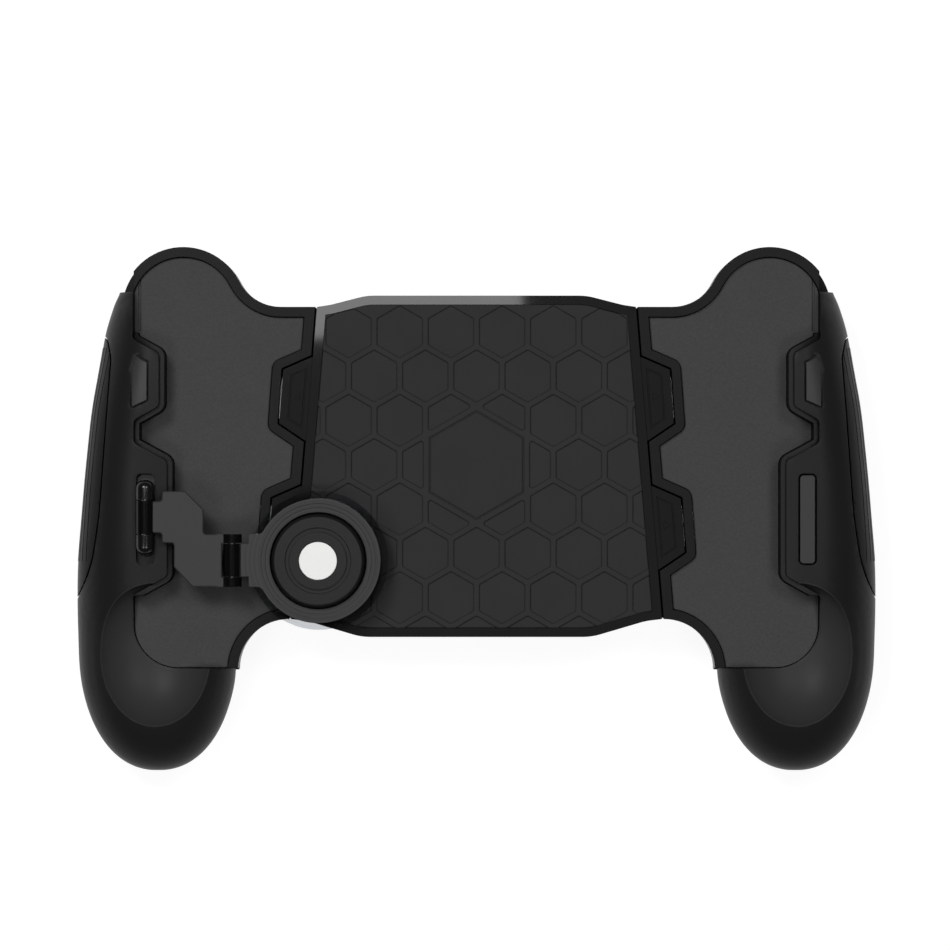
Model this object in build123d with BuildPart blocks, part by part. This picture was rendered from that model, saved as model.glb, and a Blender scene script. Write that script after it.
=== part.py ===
# Telescopic game controller grip for a phone, lying on its back.
# X runs across the grip, Y runs up the picture and Z points at the player. Millimetres.
# The right half is modelled on its own side and mirrored about YZ for the left half.

import os
from math import asin, cos, degrees, hypot, radians, sqrt

from build123d import *

os.makedirs("parts", exist_ok=True)

# Cuts run past the faces that they open by this much
overrun = 1.0
clearance = 0.15
seat_gap = 0.02

# Levels above the table
wing_rear_z = 9.0
parting_z = 14.0
bay_floor_z = 19.0
rim_z = 20.0
stick_axis_z = 28.2

# Grip body, a rounded bar that swells into a bulb at its lower end
bulb_x = 62.5
bulb_y = -25.6
bulb_half_width = 15.64
bulb_reach = 25.7
bulb_power = 2.2
grip_top_y = 42.4
grip_front_rise = 13.0
grip_rear_depth = 14.0
grip_crest_inset = 10.5
wing_blend_x = 38.0
wing_blend_rise = 0.6
grip_wall = 2.4
round_share = 0.5523
# Each station: place up the grip, outer edge, front rise, rear depth and roundness of the inner side
station_shares = (
    (1.053, 0.31, 0.70, 0.314, 0),
    (1.0, 0.48, 0.78, 0.486, 0),
    (0.949, 0.569, 0.86, 0.70, 0),
    (0.891, 0.645, 0.92, 0.871, 0),
    (0.804, 0.716, 0.97, 0.99, 0),
    (0.69, 0.805, 1, 0.979, 0),
    (0.575, 0.868, 1, 0.929, 0),
    (0.46, 0.918, 1, 0.886, 0),
    (0.345, 0.96, 1, 0.871, 0.1),
    (0.23, 1.0, 1, 0.907, 0.35),
    (0.115, 1.01, 1, 0.964, 0.7),
    (0, 1.0, 1, 1.0, 1.0),
)
bulb_shares = (0.28, 0.48, 0.64, 0.77, 0.87, 0.94, 0.98, 0.997)

# Wing of the handle: shoulder, hollow corners and the slanted edge that meets the centre
wing_floor = 1.6
rim_width = 1.95
ledge_width = 1.3
wing_top_y = 39.5
wing_inner_top_x = 31.5
wing_inner_low_x = 36.6
wing_low_y = -21.5
shoulder_x = 57.3
shoulder_y = 38.9
shoulder_radius = 12.3
hollow_radius = 9.1
low_hollow_radius = 10.0
wing_tail_x = 48.6
face_plate_thickness = 1.6

# Padded wall of the phone bay, from the tip down to the curve over the bulb
tip_wall_x = 67.0
upper_notch_top_y = 33.2
upper_land_x = 61.74
upper_land_top_y = 30.33
upper_land_low_y = 20.04
middle_notch_x = 66.63
middle_notch_top_y = 17.3
middle_notch_low_y = 12.9
lower_land_x = 60.18
lower_land_top_y = 9.39
lower_land_low_y = -13.02
lower_notch_x = 66.96
lower_notch_y = -16.8
bay_corner_x = 58.36
bay_corner_y = -22.5
bay_wall = 1.5
wall_round = 1.2
liner_thickness = 1.0
liner_top_z = 26.0
liner_top_y = 34.3
tip_groove_x = 65.6
tip_groove_width = 0.5
tip_groove_depth = 0.5
tip_groove_low_y = 34.8

# Centre body
centre_top_y = 41.7
centre_low_y = -25.0
centre_top_flat_x = 21.5
centre_top_bend_x = 28.5
centre_top_bend_y = 39.9
centre_low_flat_x = 22.5
centre_low_bend_x = 33.0
centre_low_bend_y = -21.9
centre_gap = 0.35
centre_bend_radius = 12.0
centre_floor = 1.6
centre_wall = 2.0
flange_reach = 0.8
flange_height = 0.7
flange_root = 1.0
bezel_width = 1.75
deck_low_z = 17.0
pad_seat_z = 18.4
pad_top_z = 19.8

# Tabs that stand out of the centre into the wings: inner X, inner Y and tip corners
tab_root_x = 28.0
tab_top_x = 32.18
tab_top_y = 29.7
tab_tip_top_x = 37.76
tab_tip_top_y = 27.25
tab_tip_low_x = 38.54
tab_tip_low_y = 16.78
tab_low_x = 33.57
tab_low_y = 13.41
tab_step_x = 2.15
tab_step_y = 25.2
tab_fit = 0.35
tab_top_z = 19.6
notch_rim = 1.75
tab_groove_inset = 1.55
tab_groove_gap = 0.9
tab_groove_width = 0.35
tab_groove_depth = 0.3
tab_arrow_size = 1.7
tab_arrow_height = 0.2
tab_arrow_x = 34.9

# Hexagon pad
hex_pitch = 10.0
hex_rib = 1.08
hex_recess = 0.4
hex_round = 0.5
big_hex_apothem = 9.27
big_hex_line = 0.3
big_hex_depth = 0.2
big_hex_y = 8.55
hex_columns = 9
hex_rows = 9

# Side inlay of ribbed rubber along the outer edge of each grip
inlay_thickness = 1.2
inlay_fit = 0.25
inlay_top_y = 34.2
inlay_low_y = -18.2
inlay_low_z = 3.0
inlay_edge_x = 71.4
inlay_sweep = 7.5
# Corners of the inlay's inner edge, by how far out and how far down they lie, and their rounds
inlay_edge_shares = (
    (0.53, 0),
    (0.13, 0.011),
    (0, 0.09),
    (0.29, 0.672),
    (0.52, 0.891),
    (1, 1),
)
inlay_edge_rounds = (2.0, 4.0, 60.0, 25.0)

# Scoop for the thumb, an ellipsoid sunk into the bulb beside the bay
scoop_x = 62.6
scoop_y = -28.7
scoop_z = 27.0
scoop_half_width = 11.9
scoop_half_length = 14.3
scoop_depth = 8.0
scoop_wall = 1.6

# Trim pad on the face of each grip
trim_inner_x = 63.75
trim_outer_x = 67.3
trim_outer_top_y = 30.5
trim_outer_low_y = 19.4
trim_inner_top_y = 28.7
trim_inner_low_y = 21.0
trim_round = 0.5
trim_fit = 0.35
trim_seat_z = 25.9

# Arm slot in the face of each grip, filled by a cover on the right
slot_x = 64.34
slot_y = -1.98
slot_width = 3.57
slot_length = 17.8
slot_round = 1.03
slot_fit = 0.35
slot_pad_low_z = 22.7
slot_lip_z = 23.9
slot_lip = 0.7
slot_cover_z = 26.6

# Slide tongue, a flat steel fork that telescopes into the centre
tongue_low_z = 11.4
tongue_top_z = 13.6
tongue_inner_x = 1.0
tongue_outer_x = 50.0
tongue_arm_width = 8.0
tongue_upper_y = 21.8
tongue_bridge = 4.0
tongue_fit = 0.15
tongue_post_radius = 0.6
tongue_foot_radius = 3.0
tongue_hole_radius = 1.3
tongue_hole_x = 47.0
slide_travel = 20.0

# Return springs above the tongues
spring_right_y = 5.2
spring_left_y = 12.3
spring_axis_z = 15.3
spring_radius = 0.95
spring_wire_radius = 0.2
spring_turns = 12
spring_anchor_x = 28.0
spring_leg = 3.0
spring_post_gap = 0.2

# Screws and their bosses
boss_radius = 2.9
screw_radius = 1.0
screw_hole_radius = 1.15
screw_head_radius = 1.9
screw_head_height = 1.3
head_hole_radius = 2.15
screw_slot_width = 0.45
screw_slot_depth = 0.5
centre_screw_x = 24.0
centre_screw_top_y = 34.2
centre_screw_low_y = -17.0
centre_head_depth = 2.0
centre_screw_length = 6.6
centre_foot_height = 1.8
plate_screw_spots = ((40.5, 34.0), (42.5, -15.0), (57.5, 44.0))
plate_screw_length = 6.8
grip_screw_spots = ((68.0, 24.0), (62.5, -38.0))
grip_screw_base_z = 8.0
grip_screw_length = 10.0
pilot_run = 0.5

# Stick arm on the left grip, two hinges along Y at the stick's height
arm_hinge_y = -1.57
arm_barrel_radius = 1.85
arm_barrel_length = 14.5
arm_knuckle_top_y = 1.7
arm_knuckle_low_y = -4.8
arm_low_z = 27.3
arm_top_z = 29.3
arm_pin_radius = 0.7
pin_fit = 0.05
knuckle_gap = 0.15
knuckle_round = 1.6
carriage_top_z = 26.0
carriage_pad_top_y = 8.5
carriage_pad_low_y = -11.3
arm_root_x = 61.06
arm_root_top_y = 1.56
arm_root_low_y = -4.61
arm_back_top_y = 3.52
arm_back_low_y = -6.55
arm_shoulder_x = 56.52
arm_waist_x = 52.95
arm_waist_y = -0.1
arm_end_x = 49.37
arm_low_x = 55.1
arm_elbow_x = 58.7
arm_elbow_y = -11.2
arm_chamfer = 0.2
arm_round = 0.55

# Second hinge and the stick's holder
stick_hinge_x = 47.45
stick_barrel_radius = 1.9
stick_knuckle_radius = 1.7
stick_hinge_top_y = -4.83
stick_hinge_low_y = -15.06
stick_knuckle_top_y = -6.69
stick_knuckle_low_y = -13.06
stick_x = 30.71
stick_y = -9.99
holder_radius = 12.1
holder_bore = 9.43
holder_low_z = 23.6
holder_top_z = 29.2
holder_floor = 1.0
holder_hole = 4.2
holder_neck_x = 44.2
holder_neck_low_z = 27.2
holder_arm_low_z = 25.4
holder_fillet = 1.6
holder_step_radii = (10.3, 11.1)
holder_step_depth = 0.2
base_ring_radius = 13.5
base_ring_bore = 9.6
base_ring_low_z = 22.9
base_ring_lip_bore = 12.9
base_ring_lip_z = 24.4

# Gimbal, stem and cap
gimbal_inner = 2.95
gimbal_outer = 3.95
gimbal_half_height = 1.0
trunnion_radius = 0.5
trunnion_fit = 0.05
post_inner = 4.35
post_outer = 5.2
post_width = 2.4
post_top = 0.75
stem_radius = 2.3
stem_low_radius = 1.8
stem_neck = 1.2
cap_sphere_radius = 9.1
cap_cavity_radius = 7.9
cap_low = 0.9
cap_roof = 2.1
cap_top = 3.2
cap_plateau_radius = 5.6
cap_groove_width = 0.8
cap_groove_depth = 0.4
contact_radius = 3.67
contact_thickness = 0.6
rod_radius = 0.6
foot_radius = 2.6
foot_low_z = 23.0
foot_height = 1.3
foot_round = 0.6
coil_mean_radius = 6.35
coil_wire_radius = 0.2
coil_turns = 4


def lerp(start, end, share):
    """Value at a share of the way from start to end."""
    return start + (end - start) * share


def grip_section(y, outer_x, inner_x, join_z, front_z, rear_z, roundness):
    """Cross-section of the grip at y: four curves from the rear crest round the outer edge."""
    crest_x = lerp(outer_x - grip_crest_inset, bulb_x, roundness)
    half = parting_z
    tail_x = lerp((inner_x + crest_x) / 2, inner_x, roundness)
    tail_z = lerp(join_z, lerp(join_z, rear_z, round_share), roundness)
    with BuildSketch(Plane.XZ.offset(-y)) as section:
        with BuildLine():
            Bezier(
                (crest_x, rear_z),
                (lerp(crest_x, outer_x, round_share), rear_z),
                (outer_x, lerp(half, rear_z, round_share)),
                (outer_x, half),
            )
            Bezier(
                (outer_x, half),
                (outer_x, lerp(half, front_z, round_share)),
                (lerp(crest_x, outer_x, round_share), front_z),
                (crest_x, front_z),
            )
            Bezier(
                (crest_x, front_z),
                (lerp(crest_x, inner_x, round_share), front_z),
                (inner_x, lerp(join_z, front_z, round_share)),
                (inner_x, join_z),
            )
            Bezier(
                (inner_x, join_z),
                (tail_x, tail_z),
                (lerp(crest_x, inner_x, round_share), rear_z),
                (crest_x, rear_z),
            )
        make_face()
    return section.sketch


def grip_loft(inset):
    """Whole grip body, drawn in from its skin by inset."""
    sections = []
    bar_length = grip_top_y - bulb_y
    for along, outer, front, rear, roundness in station_shares:
        inner_x = lerp(wing_blend_x, bulb_x - bulb_half_width, roundness) + inset
        floor_z = wing_rear_z + min(wing_blend_rise + inset, wing_floor)
        join_z = lerp(floor_z, parting_z, roundness)
        sections.append(
            grip_section(
                bulb_y + along * bar_length,
                bulb_x + outer * bulb_half_width - inset,
                inner_x,
                join_z,
                parting_z + front * grip_front_rise - inset,
                parting_z - rear * grip_rear_depth + inset,
                roundness,
            )
        )
    for reach in bulb_shares:
        swell = (1 - reach**bulb_power) ** (1 / bulb_power)
        half_width = (bulb_half_width - inset) * swell
        sections.append(
            grip_section(
                bulb_y - (bulb_reach - inset) * reach,
                bulb_x + half_width,
                bulb_x - half_width,
                parting_z,
                parting_z + (grip_front_rise - inset) * swell,
                parting_z - (grip_rear_depth - inset) * swell,
                1,
            )
        )
    with BuildPart() as body:
        loft(sections=sections)
    return body.part


def slab(sketch, low_z, top_z):
    """Solid between two levels with the given outline."""
    with BuildPart() as block:
        with BuildSketch(Plane.XY.offset(low_z)):
            add(sketch)
        extrude(amount=top_z - low_z)
    return block.part


def post(x, y, radius, low_z, top_z):
    """Round post between two levels."""
    with BuildPart() as pin:
        with BuildSketch(Plane.XY.offset(low_z)):
            with Locations((x, y)):
                Circle(radius)
        extrude(amount=top_z - low_z)
    return pin.part


def rod_along_y(x, z, radius, low_y, top_y):
    """Round rod along Y between two places."""
    with BuildPart() as rod:
        with BuildSketch(Plane.XZ.offset(-top_y)):
            with Locations((x, z)):
                Circle(radius)
        extrude(amount=top_y - low_y)
    return rod.part


def box_between(low_corner, high_corner):
    """Box between two corners."""
    size = [high - low for low, high in zip(low_corner, high_corner)]
    middle = [(high + low) / 2 for low, high in zip(low_corner, high_corner)]
    with BuildPart() as block:
        with Locations(tuple(middle)):
            Box(*size)
    return block.part


def wing_outline(tail):
    """Wing of the right handle in plan: round shoulder, two hollow corners and a tail."""
    hollow_y = wing_top_y + hollow_radius
    reach = hollow_radius + shoulder_radius
    hollow_x = shoulder_x - sqrt(reach**2 - (hollow_y - shoulder_y) ** 2)
    touch_share = hollow_radius / reach
    touch = (lerp(hollow_x, shoulder_x, touch_share), lerp(hollow_y, shoulder_y, touch_share))
    touch_angle = degrees(asin((touch[1] - hollow_y) / hollow_radius))
    low_y = wing_low_y - low_hollow_radius
    with BuildSketch() as outline:
        with BuildLine():
            top = Line((wing_inner_top_x, wing_top_y), (hollow_x, wing_top_y))
            CenterArc((hollow_x, hollow_y), hollow_radius, -90, 90 + touch_angle)
            ThreePointArc(
                touch,
                (shoulder_x, shoulder_y + shoulder_radius),
                (shoulder_x + shoulder_radius, shoulder_y),
            )
            Polyline(
                (shoulder_x + shoulder_radius, shoulder_y),
                (shoulder_x + shoulder_radius, low_y - tail),
                (wing_inner_low_x + low_hollow_radius, low_y - tail),
                (wing_inner_low_x + low_hollow_radius, low_y),
            )
            CenterArc((wing_inner_low_x, low_y), low_hollow_radius, 0, 90)
            Line((wing_inner_low_x, wing_low_y), top @ 0)
        make_face()
    return outline.sketch


def drawn(sketch, amount):
    """The outline moved out by amount, or in where amount is below zero."""
    with BuildSketch() as moved:
        offset(sketch, amount=amount)
    return moved.sketch


def bay_outline():
    """Plan of the phone bay over the right wing, up to the padded wall of the grip."""
    corner_radius = lower_notch_x - bay_corner_x
    with BuildSketch() as outline:
        with BuildLine():
            Polyline(
                (lower_notch_x, bay_corner_y),
                (lower_notch_x, lower_notch_y),
                (lower_land_x, lower_land_low_y),
                (lower_land_x, lower_land_top_y),
                (middle_notch_x, middle_notch_low_y),
                (middle_notch_x, middle_notch_top_y),
                (upper_land_x, upper_land_low_y),
                (upper_land_x, upper_land_top_y),
                (tip_wall_x, upper_notch_top_y),
                (tip_wall_x, shoulder_y + shoulder_radius + overrun),
                (tab_root_x, shoulder_y + shoulder_radius + overrun),
                (tab_root_x, bay_corner_y - corner_radius),
                (bay_corner_x, bay_corner_y - corner_radius),
            )
            CenterArc((bay_corner_x, bay_corner_y), corner_radius, -90, 90)
        make_face()
        wavy = [
            corner
            for corner in outline.vertices()
            if corner.X > bay_corner_x + overrun
            and lower_notch_y - overrun < corner.Y < upper_notch_top_y + overrun
        ]
        fillet(wavy, radius=wall_round)
    return outline.sketch


def inlay_outline():
    """Crescent of the side inlay in plan, open past the grip's outer edge."""
    edge = [
        (inlay_edge_x + out * inlay_sweep, lerp(inlay_top_y, inlay_low_y, down))
        for out, down in inlay_edge_shares
    ]
    with BuildSketch() as outline:
        with BuildLine():
            FilletPolyline(*edge, radius=inlay_edge_rounds)
            Polyline(edge[-1], (far_x, inlay_low_y), (far_x, inlay_top_y), edge[0])
        make_face()
    return outline.sketch


def tab_outline(step):
    """Upper tab of the centre body in plan, or the lower one where step is 1."""
    shift_x = step * tab_step_x
    shift_y = -step * tab_step_y
    points = (
        (tab_root_x, tab_top_y),
        (tab_top_x, tab_top_y),
        (tab_tip_top_x, tab_tip_top_y),
        (tab_tip_low_x, tab_tip_low_y),
        (tab_low_x, tab_low_y),
        (tab_root_x, tab_low_y),
    )
    with BuildSketch() as outline:
        with BuildLine():
            Polyline(*((x + shift_x * (x > tab_root_x), y + shift_y) for x, y in points), close=True)
        make_face()
    return outline.sketch


def centre_outline():
    """Centre body in plan, without its tabs."""
    side_gap = centre_gap
    with BuildSketch() as outline:
        with BuildLine() as half:
            Polyline(
                (0, centre_top_y),
                (centre_top_flat_x, centre_top_y),
                (centre_top_bend_x, centre_top_bend_y),
                (wing_inner_top_x - side_gap, wing_top_y),
                (wing_inner_low_x - side_gap, wing_low_y),
                (centre_low_bend_x, centre_low_bend_y),
                (centre_low_flat_x, centre_low_y),
                (0, centre_low_y),
            )
            mirror(half.line, about=Plane.YZ)
        make_face()
        bends = [
            corner
            for corner in outline.vertices()
            if overrun < abs(corner.X) < centre_low_bend_x + clearance
            and not (wing_low_y < corner.Y < centre_top_bend_y - clearance)
        ]
        fillet(bends, radius=centre_bend_radius)
    return outline.sketch


def tongue_slots(side):
    """Two flat openings for the fork's arms, out to the given place across the grip."""
    half_height = (tongue_top_z - tongue_low_z) / 2 + tongue_fit
    with BuildPart() as slots:
        for step in (0, 1):
            arm_y = tongue_upper_y - step * tab_step_y
            with Locations((0, arm_y, (tongue_low_z + tongue_top_z) / 2)):
                Box(side * 2, tongue_arm_width + 2 * tongue_fit, 2 * half_height)
    return slots.part


def screw(x, y, head_z, length):
    """Slotted pan screw that points up, with its head's seat at head_z."""
    with BuildPart() as body:
        add(post(x, y, screw_head_radius, head_z - screw_head_height, head_z))
        add(post(x, y, screw_radius, head_z, head_z + length))
        with Locations((x, y, head_z - screw_head_height)):
            Box(
                2 * screw_head_radius + overrun,
                screw_slot_width,
                2 * screw_slot_depth,
                mode=Mode.SUBTRACT,
            )
    return body.part


# Outlines and grip bodies that several pieces share
wing = wing_outline(seat_gap)
long_wing = wing_outline(rim_width + ledge_width + overrun)
bay = bay_outline()
centre = centre_outline()
tabs = (tab_outline(0), tab_outline(1))
with BuildSketch() as centre_side:
    add(centre)
    for tab in tabs:
        add(tab)
tongue_lower_y = tongue_upper_y - tab_step_y
bay_low_y = bay_corner_y - (lower_notch_x - bay_corner_x)
spring_leg_z = spring_axis_z + spring_radius
tongue_post_top_z = spring_leg_z - spring_wire_radius - spring_post_gap
grip_skin = grip_loft(0)
inlay_skin = grip_loft(inlay_thickness)
pocket_skin = grip_loft(inlay_thickness + inlay_fit)
grip_hollow = grip_loft(grip_wall)
far_x = bulb_x + bulb_half_width + overrun
far_y = shoulder_y + shoulder_radius + overrun
far_low_y = bulb_y - bulb_reach - overrun
far_z = parting_z + grip_front_rise + overrun

# Flange at the foot of each handle's inner edge, and the rebate for it in the centre
flange_middle_y = (wing_top_y + wing_low_y) / 2
with BuildSketch() as flange_shape:
    add(drawn(centre_side.sketch, centre_gap + flange_root))
    with Locations((far_x / 2, flange_middle_y)):
        Rectangle(far_x, wing_top_y - wing_low_y - 2 * seat_gap, mode=Mode.INTERSECT)
    add(drawn(centre_side.sketch, -flange_reach), mode=Mode.SUBTRACT)
with BuildPart() as rebate:
    add(slab(centre_side.sketch, wing_rear_z - overrun, wing_rear_z + flange_height + clearance))
    rebate_bed = drawn(centre_side.sketch, -flange_reach - centre_gap)
    add(slab(rebate_bed, wing_rear_z - 2 * overrun, parting_z), mode=Mode.SUBTRACT)
    rebate_low = (flange_root, wing_low_y - centre_gap, 0)
    rebate_high = (far_x, wing_top_y + centre_gap, parting_z)
    add(box_between(rebate_low, rebate_high), mode=Mode.INTERSECT)

# Rear shell of the centre, with the feet of its screws and the anchors of the springs
with BuildPart() as centre_back:
    add(slab(centre, wing_rear_z, parting_z))
    for tab in tabs:
        add(slab(tab, wing_rear_z, parting_z))
        add(slab(tab, wing_rear_z, parting_z).mirror(Plane.YZ))
    add(rebate.part, mode=Mode.SUBTRACT)
    add(rebate.part.mirror(Plane.YZ), mode=Mode.SUBTRACT)
    add(
        slab(drawn(centre, -centre_wall), wing_rear_z + centre_floor, parting_z + overrun),
        mode=Mode.SUBTRACT,
    )
    add(tongue_slots(tab_tip_low_x + tab_step_x + overrun), mode=Mode.SUBTRACT)
    foot_top_z = wing_rear_z + centre_floor + centre_foot_height
    for side in (-1, 1):
        for y in (centre_screw_top_y, centre_screw_low_y):
            x = side * centre_screw_x
            add(post(x, y, boss_radius, wing_rear_z, foot_top_z))
            add(post(x, y, screw_hole_radius, 0, far_z), mode=Mode.SUBTRACT)
            add(
                post(x, y, head_hole_radius, wing_rear_z - overrun, wing_rear_z + centre_head_depth),
                mode=Mode.SUBTRACT,
            )
    for x, y in ((-spring_anchor_x, spring_right_y), (spring_anchor_x, spring_left_y)):
        add(post(x, y, tongue_post_radius, wing_rear_z + centre_floor, tongue_post_top_z))
centre_back.part.label = "centre_back"
export_step(centre_back.part, "parts/centre_back.step")

# Front shell of the centre: bezel, deck for the pad, grooved tabs and screw posts
pad_bed = drawn(centre, -bezel_width)
with BuildPart() as centre_front:
    add(slab(centre, parting_z, rim_z))
    for tab in tabs:
        add(slab(tab, parting_z, tab_top_z))
        add(slab(tab, parting_z, tab_top_z).mirror(Plane.YZ))
    add(slab(drawn(centre, -centre_wall), parting_z - overrun, deck_low_z), mode=Mode.SUBTRACT)
    add(slab(pad_bed, pad_seat_z, rim_z + overrun), mode=Mode.SUBTRACT)
    for step, tab in enumerate(tabs):
        with BuildSketch() as panel:
            add(drawn(tab, -tab_groove_inset))
            add(drawn(centre, tab_groove_gap), mode=Mode.SUBTRACT)
        with BuildSketch() as groove:
            add(panel.sketch)
            add(drawn(panel.sketch, -tab_groove_width), mode=Mode.SUBTRACT)
        with BuildSketch() as arrow:
            arrow_y = (tab_tip_top_y + tab_tip_low_y) / 2 - step * tab_step_y
            with Locations((tab_arrow_x + step * tab_step_x, arrow_y)):
                RegularPolygon(radius=tab_arrow_size / 2, side_count=3)
        cut = slab(groove.sketch, tab_top_z - tab_groove_depth, rim_z)
        mark = slab(arrow.sketch, tab_top_z, tab_top_z + tab_arrow_height)
        for piece in (cut, cut.mirror(Plane.YZ)):
            add(piece, mode=Mode.SUBTRACT)
        for piece in (mark, mark.mirror(Plane.YZ)):
            add(piece)
    for side in (-1, 1):
        for y in (centre_screw_top_y, centre_screw_low_y):
            x = side * centre_screw_x
            add(post(x, y, head_hole_radius, foot_top_z + seat_gap, deck_low_z))
            add(
                post(x, y, screw_radius + seat_gap, foot_top_z, deck_low_z + centre_floor / 2),
                mode=Mode.SUBTRACT,
            )
centre_front.part.label = "centre_front"
export_step(centre_front.part, "parts/centre_front.step")

# Screws that close the centre
with BuildPart() as centre_screws:
    for side in (-1, 1):
        for y in (centre_screw_top_y, centre_screw_low_y):
            add(
                screw(
                    side * centre_screw_x,
                    y,
                    wing_rear_z + centre_head_depth - seat_gap,
                    centre_screw_length,
                )
            )
centre_screws.part.label = "centre_screws"
export_step(centre_screws.part, "parts/centre_screws.step")

# Soft pad with sunk hexagons round one large bare hexagon
hex_apothem = (hex_pitch - hex_rib) / 2
hex_row_step = hex_pitch * cos(radians(30))
with BuildSketch() as cell_grid:
    for row in range(-(hex_rows // 2), hex_rows // 2 + 1):
        shift = hex_pitch / 2 * ((row + 1) % 2)
        for column in range(-(hex_columns // 2), hex_columns // 2 + 1):
            with Locations((column * hex_pitch + shift, row * hex_row_step)):
                RegularPolygon(hex_apothem, 6, major_radius=False, rotation=30)
    with Locations((0, big_hex_y)):
        RegularPolygon(
            big_hex_apothem + hex_rib, 6, major_radius=False, rotation=30, mode=Mode.SUBTRACT
        )
with BuildSketch() as cells:
    for cell in cell_grid.faces():
        add(drawn(drawn(cell, -hex_round), hex_round))
    add(drawn(centre, -bezel_width), mode=Mode.INTERSECT)
with BuildSketch() as big_hex_edge:
    with Locations((0, big_hex_y)):
        RegularPolygon(big_hex_apothem, 6, major_radius=False, rotation=30)
        RegularPolygon(
            big_hex_apothem - big_hex_line, 6, major_radius=False, rotation=30, mode=Mode.SUBTRACT
        )
with BuildPart() as hex_pad:
    add(slab(drawn(centre, -bezel_width - seat_gap), pad_seat_z, pad_top_z))
    add(slab(cells.sketch, pad_top_z - hex_recess, pad_top_z + overrun), mode=Mode.SUBTRACT)
    add(
        slab(big_hex_edge.sketch, pad_top_z - big_hex_depth, pad_top_z + overrun),
        mode=Mode.SUBTRACT,
    )
hex_pad.part.label = "hex_pad"
export_step(hex_pad.part, "parts/hex_pad.step")

# Regions that both shells of a grip are cut to
notches = [drawn(tab, tab_fit) for tab in tabs]
notch_rims = [drawn(tab, tab_fit + notch_rim) for tab in tabs]
tray_low_z = wing_rear_z + wing_floor
plate_low_z = bay_floor_z - face_plate_thickness
tray_inset = rim_width + ledge_width
with BuildSketch() as shoulder_clip:
    with Locations(((wing_blend_x + far_x) / 2, (far_low_y + shoulder_y) / 2)):
        Rectangle(far_x - wing_blend_x, shoulder_y - far_low_y)
    with Locations((shoulder_x, shoulder_y)):
        Circle(shoulder_radius)
with BuildSketch() as room_clip:
    with Locations(((wing_tail_x + far_x) / 2, (far_low_y + shoulder_y - tray_inset) / 2)):
        Rectangle(far_x - wing_tail_x, shoulder_y - tray_inset - far_low_y)
    add(drawn(wing, -tray_inset))
with BuildPart() as rear_room:
    add(grip_hollow)
    add(slab(room_clip.sketch, 0, parting_z + overrun), mode=Mode.INTERSECT)
inlay_plan = inlay_outline()
with BuildPart() as inlay_pocket:
    add(slab(drawn(inlay_plan, inlay_fit), inlay_low_z - inlay_fit, far_z))
    add(pocket_skin, mode=Mode.SUBTRACT)

# Tray of the wing with its rim and the ledge under the face plate
with BuildPart() as wing_tray:
    add(slab(wing, parting_z, rim_z))
    add(slab(bay, parting_z - overrun, rim_z + overrun), mode=Mode.INTERSECT)
    tail_low = (wing_tail_x, bay_low_y - overrun, parting_z - overrun)
    tail_high = (far_x, shoulder_y - tray_inset, rim_z + overrun)
    add(box_between(tail_low, tail_high), mode=Mode.SUBTRACT)
    add(slab(wing, wing_rear_z, parting_z))
    add(slab(drawn(wing, -tray_inset), tray_low_z, plate_low_z + overrun), mode=Mode.SUBTRACT)
    add(slab(drawn(long_wing, -rim_width), plate_low_z, rim_z + overrun), mode=Mode.SUBTRACT)

# Rims that stand round the notches for the tabs
with BuildPart() as notch_walls:
    for notch_wall in notch_rims:
        add(slab(notch_wall, wing_rear_z, rim_z))
    add(slab(wing, wing_rear_z, rim_z), mode=Mode.INTERSECT)

# Feet that stand on the inside of the grip's rear skin
with BuildPart() as grip_feet:
    for x, y in grip_screw_spots:
        add(post(x, y, boss_radius, -overrun, parting_z))
    for y in (tongue_upper_y, tongue_lower_y):
        add(post(tongue_hole_x, y, tongue_foot_radius, 0, tongue_low_z - seat_gap))
    add(grip_skin, mode=Mode.INTERSECT)

# Rear shell of the handle: half of the grip with the tray, the notches and the screw feet
with BuildPart() as right_handle_back:
    add(grip_skin)
    add(slab(shoulder_clip.sketch, -overrun, parting_z), mode=Mode.INTERSECT)
    add(wing_tray.part)
    add(rear_room.part, mode=Mode.SUBTRACT)
    add(notch_walls.part)
    for notch in notches:
        add(slab(notch, wing_rear_z - overrun, rim_z + overrun), mode=Mode.SUBTRACT)
    add(slab(flange_shape.sketch, wing_rear_z, wing_rear_z + flange_height))
    slot_reach = tab_tip_low_x + tab_step_x + tab_fit + notch_rim + overrun
    add(tongue_slots(slot_reach), mode=Mode.SUBTRACT)
    add(grip_feet.part)
    for x, y in plate_screw_spots:
        add(post(x, y, boss_radius, wing_rear_z, parting_z))
    for x, y in plate_screw_spots + grip_screw_spots:
        add(post(x, y, screw_hole_radius, -overrun, parting_z + overrun), mode=Mode.SUBTRACT)
    for x, y in plate_screw_spots:
        head_seat_z = wing_rear_z + centre_head_depth
        add(post(x, y, head_hole_radius, 0, head_seat_z), mode=Mode.SUBTRACT)
    for x, y in grip_screw_spots:
        add(post(x, y, head_hole_radius, -overrun, grip_screw_base_z), mode=Mode.SUBTRACT)
    for y in (tongue_upper_y, tongue_lower_y):
        pilot_low_z = wing_rear_z + wing_floor / 2
        add(post(tongue_hole_x, y, screw_radius + seat_gap, pilot_low_z, far_z), mode=Mode.SUBTRACT)
    add(inlay_pocket.part, mode=Mode.SUBTRACT)
right_handle_back.part.label = "right_handle_back"
export_step(right_handle_back.part, "parts/right_handle_back.step")

# Ellipsoid of the scoop, and the larger one that keeps the wall under it
with BuildPart() as scoop_shape:
    Sphere(1)
    scale(by=(scoop_half_width, scoop_half_length, scoop_depth))
with BuildPart() as scoop_shell:
    Sphere(1)
    scale(
        by=(
            scoop_half_width + scoop_wall,
            scoop_half_length + scoop_wall,
            scoop_depth + scoop_wall,
        )
    )
scoop_place = Location((scoop_x, scoop_y, scoop_z))

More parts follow.
